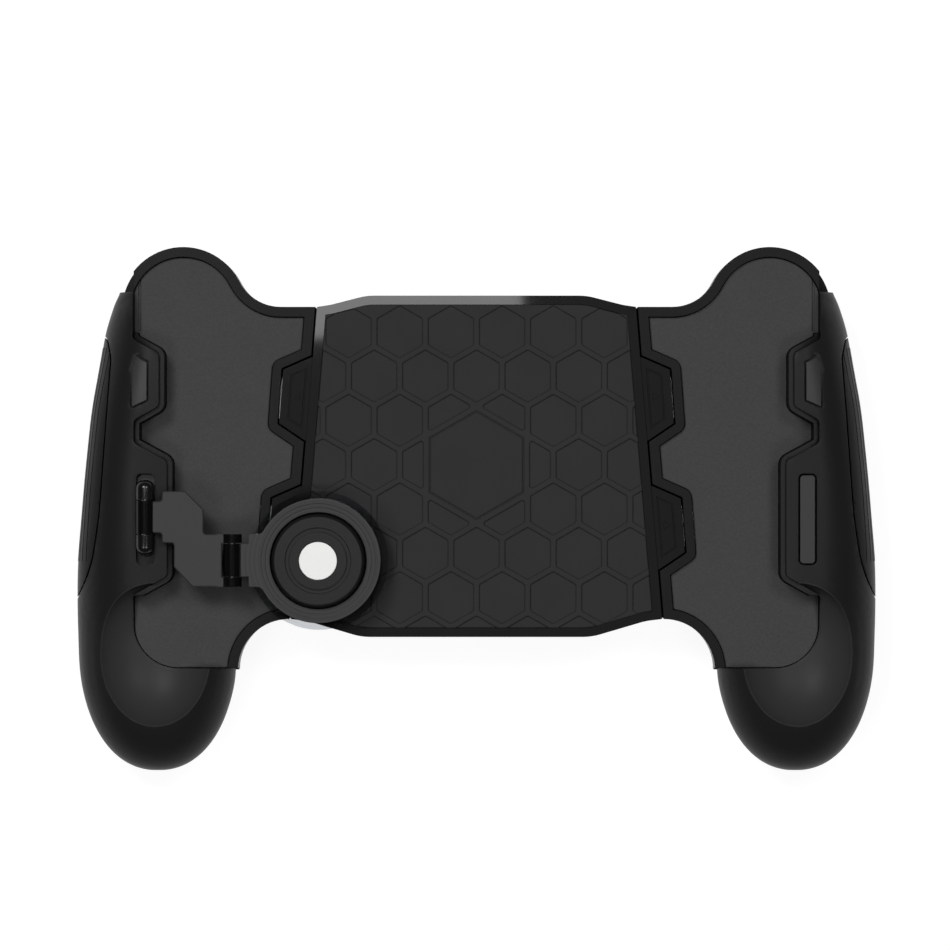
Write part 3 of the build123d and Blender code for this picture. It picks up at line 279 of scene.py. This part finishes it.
# Contact disc: pale conductive plastic, smooth and even
CONTACT = Finish(
    "pale_contact_plastic", "fbfbf9", "f5f5f3", 0.4, Texture.POLISHED, 0.3, 0.001, specular=0.3,
)
# Clear polycarbonate ring: polished, sees through to what lies under it
CLEAR = Finish(
    "clear_polycarbonate", "d4d6d9", "cfd2d5", 0.03, Texture.POLISHED, 2.0, 0.0,
    transmission=1.0, edge_mm=0.0,
)
# Nickel-plated steel of tongues, screws, pins and springs: grey metal with a faint haze
STEEL = Finish(
    "nickel_plated_steel", "b9bbbd", "a7a9ac", 0.3, Texture.PLATED, 0.2, 0.003, metallic=1.0,
)
# Conductive foam rubber of the screen foot: dull and open-grained
FOOT = Finish("conductive_rubber", "202021", "2a2a2b", 0.7, grain_mm=0.1, relief_mm=0.006)

# Gloss black plastic of the hinge barrels and of the walls, where it also serves as painted
# shade, and how soon it meets the paint
BARREL_AND_SHADE_BLACK = hex_rgb("0a0a0b")
BARREL_ROUGHNESS = 0.16
PAINT_BLUR_MM = 0.04
# Grey coat of the thumb scoops, the half axes of the ellipsoid that they are cut with, and
# the share of those that its edge fades over
SCOOP_COAT = hex_rgb("343435")
SCOOP_AXES_MM = (11.9, 14.3, 8.0)
SCOOP_FADE = 0.02
# Shared by all finishes: gloss of the coat, wide patches of handling, and strength of relief
COAT_ROUGHNESS = 0.03
PATCH_MM = 9.0
PATCH_SHINE = 0.04
LEAST_ROUGHNESS = 0.02
RELIEF_STRENGTH = 0.9


@dataclass
class MaterialShop:
    """Makes each finish once and hands out the same material afterwards."""

    made: dict[str, bpy.types.Material] = field(default_factory=dict)

    def get(self, finish: Finish) -> bpy.types.Material:
        """Return the material of a finish, making it the first time.

        Args:
            finish: The finish wanted.

        Returns:
            A node-based material.
        """
        if finish.name not in self.made:
            self.made[finish.name] = self._make(finish)
        return self.made[finish.name]

    def _make(self, finish: Finish) -> bpy.types.Material:
        """Build a finish: two colours, uneven roughness, fine relief and bare places.

        Args:
            finish: The finish to build.

        Returns:
            The new material.
        """
        material = bpy.data.materials.new(finish.name)
        material.use_nodes = True
        tree = material.node_tree
        shader = tree.nodes["Principled BSDF"]
        shader.inputs["Metallic"].default_value = finish.metallic
        shader.inputs["Coat Weight"].default_value = finish.coat
        shader.inputs["Coat Roughness"].default_value = COAT_ROUGHNESS
        shader.inputs["Transmission Weight"].default_value = finish.transmission
        shader.inputs["Specular IOR Level"].default_value = finish.specular

        place = put(tree, "ShaderNodeTexCoord").outputs["Object"]
        grain = self._grain(tree, finish, place)
        tint = put(
            tree,
            "ShaderNodeMix",
            {
                "Factor_Float": grain,
                "A_Color": hex_rgb(finish.colour),
                "B_Color": hex_rgb(finish.fleck),
            },
            data_type="RGBA",
        )
        colour = by_id(tint.outputs, "Result_Color")
        # Handling leaves wide, faint patches of more and less shine
        patches = put(
            tree,
            "ShaderNodeTexNoise",
            {"Vector": place, "Scale": 1 / (PATCH_MM * MM), "Detail": 3.0},
        )
        roughness = put(
            tree,
            "ShaderNodeMapRange",
            {
                "Value": patches.outputs[0],
                "To Min": max(finish.roughness - PATCH_SHINE, LEAST_ROUGHNESS),
                "To Max": finish.roughness + PATCH_SHINE,
            },
        ).outputs["Result"]
        # The barrels are bare black plastic; the walls get the same black as painted shade
        bare_and_shade = self._bare_and_shade(tree, finish, place)
        for mask, paint in ((self._coated(tree, finish, place), SCOOP_COAT), (bare_and_shade, BARREL_AND_SHADE_BLACK)):
            if mask is None:
                continue
            painted = put(
                tree,
                "ShaderNodeMix",
                {"Factor_Float": mask, "A_Color": colour, "B_Color": paint},
                data_type="RGBA",
            )
            colour = by_id(painted.outputs, "Result_Color")
        if bare_and_shade is not None:
            polish = put(
                tree,
                "ShaderNodeMix",
                {"Factor_Float": bare_and_shade, "A_Float": roughness, "B_Float": BARREL_ROUGHNESS},
                data_type="FLOAT",
            )
            roughness = by_id(polish.outputs, "Result_Float")
        tree.links.new(colour, shader.inputs["Base Color"])
        tree.links.new(roughness, shader.inputs["Roughness"])
        if not finish.edge_mm:
            return material
        # Light catches the rounded edge of a moulding
        worn = put(tree, "ShaderNodeBevel", {"Radius": finish.edge_mm * MM}, samples=4)
        tree.links.new(worn.outputs["Normal"], shader.inputs["Normal"])
        if finish.relief_mm:
            relief = put(
                tree,
                "ShaderNodeBump",
                {
                    "Height": grain,
                    "Distance": finish.relief_mm * MM,
                    "Strength": RELIEF_STRENGTH,
                    "Normal": worn.outputs["Normal"],
                },
            )
            tree.links.new(relief.outputs["Normal"], shader.inputs["Normal"])
        return material

    def _grain(
        self, tree: bpy.types.NodeTree, finish: Finish, place: bpy.types.NodeSocket
    ) -> bpy.types.NodeSocket:
        """Add the nodes that carry the grain of a finish.

        Args:
            tree: The material's tree.
            finish: The finish.
            place: Object coordinates.

        Returns:
            The grain, from nought to one.
        """
        even = finish.texture in (Texture.SANDED, Texture.PLATED)
        detail, fineness = (2.0, 0.5) if even else (3.0, 0.6)
        noise = put(
            tree,
            "ShaderNodeTexNoise",
            {
                "Vector": place,
                "Scale": 1 / (finish.grain_mm * MM),
                "Detail": detail,
                "Roughness": fineness,
            },
        ).outputs[0]
        if finish.texture is not Texture.TURNED:
            return noise
        radius = self._radius(tree, place, (*finish.turned_xy_mm, 0.0), (1.0, 1.0, 0.0))
        turns = put(
            tree,
            "ShaderNodeMath",
            {"Value": radius, "Value_001": math.tau / (finish.grain_mm * MM)},
            operation="MULTIPLY",
        )
        wave = put(
            tree, "ShaderNodeMath", {"Value": turns.outputs[0]}, operation="SINE"
        )
        return put(
            tree,
            "ShaderNodeMapRange",
            {"Value": wave.outputs[0], "From Min": -1.0, "From Max": 1.0},
        ).outputs["Result"]

    def _radius(
        self,
        tree: bpy.types.NodeTree,
        place: bpy.types.NodeSocket,
        middle_mm: Sequence[float],
        across: Sequence[float],
    ) -> bpy.types.NodeSocket:
        """Add the nodes that measure how far a point lies from an axis.

        Args:
            tree: The material's tree.
            place: Object coordinates.
            middle_mm: A point on the axis.
            across: One for each direction across the axis, nought along it.

        Returns:
            The distance in metres.
        """
        middle = tuple(value * MM for value in middle_mm)
        away = put(
            tree,
            "ShaderNodeVectorMath",
            {"Vector": place, "Vector_001": middle},
            operation="SUBTRACT",
        )
        flat = put(
            tree,
            "ShaderNodeVectorMath",
            {"Vector": away.outputs["Vector"], "Vector_001": tuple(across)},
            operation="MULTIPLY",
        )
        length = put(
            tree,
            "ShaderNodeVectorMath",
            {"Vector": flat.outputs["Vector"]},
            operation="LENGTH",
        )
        return length.outputs["Value"]

    def _bare_and_shade(
        self, tree: bpy.types.NodeTree, finish: Finish, place: bpy.types.NodeSocket
    ) -> bpy.types.NodeSocket | None:
        """Add the nodes that find the barrels and the black walls that serve as painted shade.

        Args:
            tree: The material's tree.
            finish: The finish.
            place: Object coordinates.

        Returns:
            One on the barrels and on the walls with painted shade, nought on paint, or None
            where all is painted.
        """
        edges = [
            (self._radius(tree, place, (x, 0.0, z), (1.0, 0.0, 1.0)), radius)
            for x, z, radius in finish.barrels_mm
        ]
        # Walls below this height are black as painted shade along the piece's outline
        if finish.wall_z_mm is not None:
            split = put(tree, "ShaderNodeSeparateXYZ", {"Vector": place})
            edges.append((split.outputs["Z"], finish.wall_z_mm))
        masks = [
            put(
                tree,
                "ShaderNodeMapRange",
                {
                    "Value": distance,
                    "From Min": (edge - PAINT_BLUR_MM) * MM,
                    "From Max": (edge + PAINT_BLUR_MM) * MM,
                    "To Min": 1.0,
                    "To Max": 0.0,
                },
            ).outputs["Result"]
            for distance, edge in edges
        ]
        return union(tree, masks)

    def _coated(
        self, tree: bpy.types.NodeTree, finish: Finish, place: bpy.types.NodeSocket
    ) -> bpy.types.NodeSocket | None:
        """Add the nodes that find the thumb scoops.

        Args:
            tree: The material's tree.
            finish: The finish.
            place: Object coordinates.

        Returns:
            One on the wall of a scoop and nought elsewhere, or None where there is no scoop.
        """
        masks = []
        for middle in finish.scoops_mm:
            away = put(
                tree,
                "ShaderNodeVectorMath",
                {"Vector": place, "Vector_001": tuple(value * MM for value in middle)},
                operation="SUBTRACT",
            )
            shares = put(
                tree,
                "ShaderNodeVectorMath",
                {
                    "Vector": away.outputs["Vector"],
                    "Vector_001": tuple(axis * MM for axis in SCOOP_AXES_MM),
                },
                operation="DIVIDE",
            )
            length = put(
                tree,
                "ShaderNodeVectorMath",
                {"Vector": shares.outputs["Vector"]},
                operation="LENGTH",
            )
            inside = put(
                tree,
                "ShaderNodeMapRange",
                {
                    "Value": length.outputs["Value"],
                    "From Min": 1.0,
                    "From Max": 1.0 + SCOOP_FADE,
                    "To Min": 1.0,
                    "To Max": 0.0,
                },
            ).outputs["Result"]
            masks.append(inside)
        return union(tree, masks)


@dataclass(frozen=True)
class SoftEdge:
    """Small round that a mould leaves on the edges of a piece.

    Args:
        width_mm: Width of the round. Nought leaves the edges crisp.
        segments: Faces across it.
        angle_deg: Edges sharper than this get it.
        flat_deg: Faces that meet at less than this are one face.
    """

    width_mm: float
    segments: int = 2
    angle_deg: float = 32.0
    flat_deg: float = 0.5

    def put_on(self, obj: bpy.types.Object) -> None:
        """Add the modifiers that round the edges of a CAD piece.

        Args:
            obj: A CAD node's object. Its own mesh stays as it is.
        """
        weld = obj.modifiers.new("weld", "WELD")
        weld.merge_threshold = WELD_MM * MM
        shade_smooth(obj)
        if not self.width_mm:
            split = obj.modifiers.new("crisp", "EDGE_SPLIT")
            split.split_angle = math.radians(self.angle_deg)
            return
        flat = obj.modifiers.new("flat", "DECIMATE")
        flat.decimate_type = "DISSOLVE"
        flat.angle_limit = math.radians(self.flat_deg)
        bevel = obj.modifiers.new("edge", "BEVEL")
        bevel.width = self.width_mm * MM
        bevel.segments = self.segments
        bevel.limit_method = "ANGLE"
        bevel.angle_limit = math.radians(self.angle_deg)
        bevel.use_clamp_overlap = True
        normals = obj.modifiers.new("normals", "WEIGHTED_NORMAL")
        normals.keep_sharp = True


MOULDED = SoftEdge(0.2)
RIM = SoftEdge(0.3, 3)
FINE = SoftEdge(0.08)
CRISP = SoftEdge(0.0)


def shade_smooth(obj: bpy.types.Object) -> None:
    """Shade every face of an object smoothly.

    Args:
        obj: A mesh object.
    """
    for face in obj.data.polygons:
        face.use_smooth = True


def dress(obj: bpy.types.Object, material: bpy.types.Material) -> None:
    """Give an object one material.

    Args:
        obj: A mesh object.
        material: Its only material from now on.
    """
    obj.data.materials.clear()
    obj.data.materials.append(material)


@dataclass(frozen=True)
class Ribs:
    """Low ribs that run along a rubber inlay, drawn by Geometry Nodes.

    Args:
        count: Number of ribs.
        pitch_mm: Distance between two ribs, measured up the side.
        width_mm: Width of one rib.
        relief_mm: How far a rib stands out of the rubber.
        margin_mm: Bare rubber left at the upper end.
        low_margin_mm: Bare rubber left at the lower end.
        points: Points along one rib.
        profile_points: Points round one rib.
        standoff_mm: How far outside the inlay the ribs' lines start.
    """

    count: int = 9
    pitch_mm: float = 1.7
    width_mm: float = 0.55
    relief_mm: float = 0.08
    margin_mm: float = 2.0
    low_margin_mm: float = 7.0
    points: int = 90
    profile_points: int = 8
    standoff_mm: float = 5.0

    def make(
        self, name: str, rubber: bpy.types.Object, side: Side, material: bpy.types.Material
    ) -> bpy.types.Object:
        """Lay the ribs on an inlay and turn the result into a plain mesh.

        Args:
            name: Name of the new piece.
            rubber: The inlay's CAD object.
            side: Which handle it belongs to.
            material: Finish of the ribs.

        Returns:
            The ribs, one mesh object at the origin.
        """
        base = bmesh.new()
        base.from_mesh(rubber.data)
        bmesh.ops.remove_doubles(base, verts=base.verts, dist=WELD_MM * MM)
        mesh = bpy.data.meshes.new(f"{name}_base")
        base.to_mesh(mesh)
        base.free()
        shape = bpy.data.objects.new(name, mesh)
        bpy.context.collection.objects.link(shape)
        low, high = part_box(rubber.name)
        outside = side.value * (max(abs(low[0]), abs(high[0])) + self.standoff_mm * MM)
        first_z = (low[2] + high[2]) / 2 - self.pitch_mm * MM * (self.count - 1) / 2
        values = {
            "Low End": (outside, low[1] + self.low_margin_mm * MM, first_z),
            "High End": (outside, high[1] - self.margin_mm * MM, first_z),
            "Cast": (-side.value, 0.0, 0.0),
            "Count": self.count,
            "Points": self.points,
            "Pitch": self.pitch_mm * MM,
            "Radius": self.width_mm / 2 * MM,
            "Sunk": -(self.width_mm / 2 - self.relief_mm) * MM,
            "Finish": material,
        }
        modifier = shape.modifiers.new("ribs", "NODES")
        modifier.node_group = self._tree()
        for item in modifier.node_group.interface.items_tree:
            if item.name in values:
                modifier[item.identifier] = values[item.name]
        ready = shape.evaluated_get(bpy.context.evaluated_depsgraph_get())
        ribs = bpy.data.meshes.new_from_object(ready)
        shape.modifiers.remove(modifier)
        shape.data = ribs
        shade_smooth(shape)
        return shape

    def _tree(self) -> bpy.types.NodeTree:
        """Build the tree: lines beside the inlay, cast onto it and swept with a round profile.

        Returns:
            A geometry node group with a named input for each size.
        """
        tree = bpy.data.node_groups.new("ribs", "GeometryNodeTree")
        sockets = (
            ("Geometry", "Geometry"),
            ("Low End", "Vector"),
            ("High End", "Vector"),
            ("Cast", "Vector"),
            ("Count", "Int"),
            ("Points", "Int"),
            ("Pitch", "Float"),
            ("Radius", "Float"),
            ("Sunk", "Float"),
            ("Finish", "Material"),
        )
        for name, kind in sockets:
            tree.interface.new_socket(name, in_out="INPUT", socket_type=f"NodeSocket{kind}")
        tree.interface.new_socket("Geometry", in_out="OUTPUT", socket_type="NodeSocketGeometry")
        given = put(tree, "NodeGroupInput").outputs
        line = put(
            tree,
            "GeometryNodeCurvePrimitiveLine",
            {"Start": given["Low End"], "End": given["High End"]},
        ).outputs["Curve"]
        fine = put(
            tree, "GeometryNodeResampleCurve", {"Curve": line, "Count": given["Points"]}
        ).outputs["Curve"]
        copies = put(
            tree,
            "GeometryNodeDuplicateElements",
            {"Geometry": fine, "Amount": given["Count"]},
            domain="SPLINE",
        )
        rise = put(
            tree,
            "ShaderNodeMath",
            {"Value": copies.outputs["Duplicate Index"], "Value_001": given["Pitch"]},
            operation="MULTIPLY",
        ).outputs[0]
        offset = put(tree, "ShaderNodeCombineXYZ", {"Z": rise}).outputs["Vector"]
        spread = put(
            tree,
            "GeometryNodeSetPosition",
            {"Geometry": copies.outputs["Geometry"], "Offset": offset},
        ).outputs["Geometry"]
        cast = put(
            tree,
            "GeometryNodeRaycast",
            {"Target Geometry": given["Geometry"], "Ray Direction": given["Cast"]},
        )
        inward = put(
            tree,
            "ShaderNodeVectorMath",
            {"Vector": cast.outputs["Hit Normal"], "Scale": given["Sunk"]},
            operation="SCALE",
        ).outputs["Vector"]
        seat = put(
            tree,
            "ShaderNodeVectorMath",
            {"Vector": cast.outputs["Hit Position"], "Vector_001": inward},
            operation="ADD",
        ).outputs["Vector"]
        missed = put(
            tree,
            "FunctionNodeBooleanMath",
            {"Boolean": cast.outputs["Is Hit"]},
            operation="NOT",
        ).outputs["Boolean"]
        trimmed = put(
            tree,
            "GeometryNodeDeleteGeometry",
            {"Geometry": spread, "Selection": missed},
            domain="POINT",
        ).outputs["Geometry"]
        seated = put(
            tree, "GeometryNodeSetPosition", {"Geometry": trimmed, "Position": seat}
        ).outputs["Geometry"]
        profile = put(
            tree,
            "GeometryNodeCurvePrimitiveCircle",
            {"Resolution": self.profile_points, "Radius": given["Radius"]},
        ).outputs["Curve"]
        swept = put(
            tree,
            "GeometryNodeCurveToMesh",
            {"Curve": seated, "Profile Curve": profile, "Fill Caps": True},
        ).outputs["Mesh"]
        real = put(tree, "GeometryNodeRealizeInstances", {"Geometry": swept}).outputs["Geometry"]
        dressed = put(
            tree, "GeometryNodeSetMaterial", {"Geometry": real, "Material": given["Finish"]}
        ).outputs["Geometry"]
        tree.links.new(dressed, tree.nodes.new("NodeGroupOutput").inputs[0])
        return tree


@dataclass
class Assembly:
    """Pieces that share a carrier and are finished together.

    Args:
        nodes: The frame's objects by node name.
        shop: Source of materials.
    """

    nodes: dict[str, bpy.types.Object]
    shop: MaterialShop

    def finish_nodes(self, table: Iterable[tuple[str, Finish, SoftEdge | None]]) -> None:
        """Dress the CAD pieces that stay as they are.

        Args:
            table: Node name, finish and the edge that the piece gets.
        """
        for name, finish, edge in table:
            obj = self.nodes[name]
            dress(obj, self.shop.get(finish))
            if edge is not None:
                edge.put_on(obj)
            log.info("%s: %s", name, finish.name)


@dataclass
class Centre(Assembly):
    """Centre body with its bezel, tabs and hexagon pad."""

    def build(self) -> None:
        """Finish the pieces of the centre."""
        self.finish_nodes(
            (
                ("centre_back", HANDLE_BACK, MOULDED),
                ("centre_front", BEZEL, CRISP),
                ("hex_pad", PAD, CRISP),
                ("centre_screws", STEEL, None),
                ("left_spring", STEEL, None),
                ("right_spring", STEEL, None),
            )
        )


@dataclass
class Handle(Assembly):
    """One handle: shells, face plate, liner, inlay, trim pad, tongue and screws.

    Args:
        side: Which handle.
    """

    side: Side = Side.RIGHT

    def build(self) -> None:
        """Finish the pieces of this handle and rib its inlay."""
        prefix = self.side.prefix
        self.finish_nodes(
            (
                (f"{prefix}_handle_back", HANDLE_BACK, RIM),
                (f"{prefix}_grip_front", GRIP_SHELL, MOULDED),
                (f"{prefix}_face_plate", FACE_PLATE, CRISP),
                (f"{prefix}_clamp_liner", LINER, MOULDED),
                (f"{prefix}_side_inlay", INLAY, MOULDED),
                (f"{prefix}_trim_pad", TRIM, CRISP),
                (f"{prefix}_slide_tongue", STEEL, FINE),
                (f"{prefix}_handle_screws", STEEL, None),
            )
        )
        if self.side is Side.RIGHT:
            self.finish_nodes((("right_slot_cover", TRIM, CRISP),))
        ribs = Ribs().make(
            f"{prefix}_inlay_ribs",
            self.nodes[f"{prefix}_side_inlay"],
            self.side,
            self.shop.get(INLAY),
        )
        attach(ribs, f"{prefix}_handle")


@dataclass
class StickArm(Assembly):
    """Hinged arm on the left grip with the thumb stick at its end."""

    def build(self) -> None:
        """Finish the pieces of the arm and the stick."""
        self.finish_nodes(
            (
                ("arm_carriage", CARRIAGE, CRISP),
                ("arm_pin", STEEL, None),
                ("arm_plate", ARM, CRISP),
                ("stick_pin", STEEL, None),
                ("stick_holder", HOLDER, CRISP),
                ("clear_base_ring", CLEAR, CRISP),
                ("gimbal_ring", CARRIAGE, FINE),
                ("stick_stem", CARRIAGE, FINE),
                ("stick_cap", CAP, CRISP),
                ("contact_disc", CONTACT, FINE),
                ("contact_rod", STEEL, None),
                ("conductive_foot", FOOT, None),
                ("centring_spring", STEEL, None),
            )
        )


@dataclass(frozen=True)
class Lamp:
    """One area lamp of the studio.

    Args:
        name: Its name.
        place: Where it hangs, in metres.
        power: Its power in watts.
        size: Its width and height, in metres.
        turn_deg: How far it is turned about its own axis.
        level: Whether it lies level rather than facing the grip.
    """

    name: str
    place: tuple[float, float, float]
    power: float
    size: float = 0.26
    turn_deg: float = 0.0
    level: bool = False

    def hang(self, target: Vector) -> None:
        """Hang the lamp so that it faces a point, or lies level.

        Args:
            target: The point, in metres.
        """
        data = bpy.data.lights.new(self.name, "AREA")
        data.shape = "SQUARE"
        data.size = self.size
        data.energy = self.power
        lamp = bpy.data.objects.new(self.name, data)
        lamp.location = self.place
        facing = Vector((0.0, 0.0, -1.0)) if self.level else target - Vector(self.place)
        lamp.rotation_euler = facing.to_track_quat("-Z", "Y").to_euler()
        lamp.rotation_euler.rotate_axis("Z", math.radians(self.turn_deg))
        bpy.context.collection.objects.link(lamp)


# Four soft boxes round the camera; the small level one shows in the polished bezel
LAMPS = (
    Lamp("upper_left_box", (-0.32, 0.4, 1.05), 4.6),
    Lamp("upper_right_box", (0.34, 0.32, 1.05), 2.5),
    Lamp("lower_left_box", (-0.34, -0.3, 1.05), 1.8),
    Lamp("lower_right_box", (0.34, -0.3, 1.05), 1.8),
    Lamp("bezel_box", (-0.122, 0.18, 1.0), 0.9, turn_deg=4.0, level=True),
)


@dataclass
class Studio:
    """Camera, floor and soft light of the photograph.

    Args:
        centre: Point that the camera looks at, in metres.
        distance: Height of the camera above that point, in metres.
        sensor_mm: Width of the camera's square sensor.
        floor_reach: Half the width of the floor, in metres.
        floor_drop_mm: How far the floor lies below the grip.
        floor_colour: Grey that the floor sends back as light.
        floor_sheen: How white the floor looks.
        fill: Even light of the room.
        ceiling: Heights on the sky, up to one, between which it darkens.
        sky: How bright the backdrop and the ceiling look.
    """

    centre: Vector
    distance: float = 1.25
    sensor_mm: float = 36.0
    floor_reach: float = 6.0
    floor_drop_mm: float = 0.1
    floor_colour: str = "7d7d7d"
    floor_sheen: float = 0.9
    fill: float = 0.3
    ceiling: tuple[float, float] = (0.25, 0.75)
    sky: tuple[float, float] = (0.95, 0.16)

    def build(self) -> None:
        """Put up the camera, the floor, the sky and the lamps."""
        self._camera()
        self._floor()
        self._world()
        for lamp in LAMPS:
            lamp.hang(self.centre)

    def _camera(self) -> None:
        """Look straight down at the grip, framed as in the photograph."""
        data = bpy.data.cameras.new("camera")
        data.sensor_width = data.sensor_height = self.sensor_mm
        data.sensor_fit = "HORIZONTAL"
        view_width = PHOTO_PX * PX_MM * MM
        data.lens = data.sensor_width * self.distance / view_width
        data.clip_end = 20.0
        camera = bpy.data.objects.new("camera", data)
        camera.location = self.centre + Vector((0.0, 0.0, self.distance))
        bpy.context.collection.objects.link(camera)
        bpy.context.scene.camera = camera

    def _floor(self) -> None:
        """Lay a plain floor that looks white and sends little light back up the grips."""
        signs = ((-1, -1), (1, -1), (1, 1), (-1, 1))
        corners = [(x * self.floor_reach, y * self.floor_reach, 0) for x, y in signs]
        mesh = bpy.data.meshes.new("floor")
        mesh.from_pydata(corners, [], [(0, 1, 2, 3)])
        floor = bpy.data.objects.new("floor", mesh)
        floor.location.z = -self.floor_drop_mm * MM
        material = bpy.data.materials.new("floor")
        material.use_nodes = True
        tree = material.node_tree
        matt = tree.nodes["Principled BSDF"]
        matt.inputs["Base Color"].default_value = hex_rgb(self.floor_colour)
        matt.inputs["Roughness"].default_value = 0.9
        white = put(tree, "ShaderNodeEmission", {"Strength": self.floor_sheen})
        both = put(
            tree,
            "ShaderNodeAddShader",
            {"Shader": matt.outputs["BSDF"], "Shader_001": white.outputs["Emission"]},
        )
        pick = put(
            tree,
            "ShaderNodeMixShader",
            {
                "Fac": self._seen_rays(tree),
                "Shader": matt.outputs["BSDF"],
                "Shader_001": both.outputs["Shader"],
            },
        )
        tree.links.new(pick.outputs["Shader"], tree.nodes["Material Output"].inputs["Surface"])
        mesh.materials.append(material)
        bpy.context.collection.objects.link(floor)

    def _seen_rays(self, tree: bpy.types.NodeTree) -> bpy.types.NodeSocket:
        """Add up the rays that show a surface: to the camera, in gloss and through clear parts.

        Args:
            tree: The node tree that needs them.

        Returns:
            The socket that is one on such a ray.
        """
        path = put(tree, "ShaderNodeLightPath")
        kinds = ("Is Camera Ray", "Is Glossy Ray", "Is Transmission Ray")
        return union(tree, [path.outputs[kind] for kind in kinds])

    def _world(self) -> None:
        """Put up a round white backdrop under a dark ceiling, and a faint even fill."""
        world = bpy.data.worlds.new("sky")
        world.use_nodes = True
        tree = world.node_tree
        place = put(tree, "ShaderNodeTexCoord").outputs["Generated"]
        split = put(tree, "ShaderNodeSeparateXYZ", {"Vector": place})
        ceiling = put(
            tree,
            "ShaderNodeMapRange",
            {
                "Value": split.outputs["Z"],
                "From Min": self.ceiling[0],
                "From Max": self.ceiling[1],
                "To Min": self.sky[0],
                "To Max": self.sky[1],
            },
            interpolation_type="SMOOTHSTEP",
        )
        pick = put(
            tree,
            "ShaderNodeMix",
            {
                "Factor_Float": self._seen_rays(tree),
                "A_Float": self.fill,
                "B_Float": ceiling.outputs["Result"],
            },
            data_type="FLOAT",
        )
        backdrop = tree.nodes["Background"]
        tree.links.new(by_id(pick.outputs, "Result_Float"), backdrop.inputs["Strength"])
        bpy.context.scene.world = world


def main() -> None:
    """Load the frame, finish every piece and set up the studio."""
    logging.basicConfig(level=logging.INFO, format="%(name)s: %(message)s")
    scene = bpy.context.scene
    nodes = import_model()["nodes"]
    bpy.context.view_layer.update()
    scene.view_settings.view_transform = "Standard"
    scene.view_settings.look = "None"

    shop = MaterialShop()
    Centre(nodes, shop).build()
    for side in Side:
        Handle(nodes, shop, side).build()
    StickArm(nodes, shop).build()

    middle_px = PHOTO_PX / 2
    look_x = (middle_px - PHOTO_ORIGIN_PX[0]) * PX_MM * MM
    look_y = (PHOTO_ORIGIN_PX[1] - middle_px) * PX_MM * MM
    look_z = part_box("right_face_plate")[1][2]
    Studio(Vector((look_x, look_y, look_z))).build()


if __name__ == "__main__":
    main()
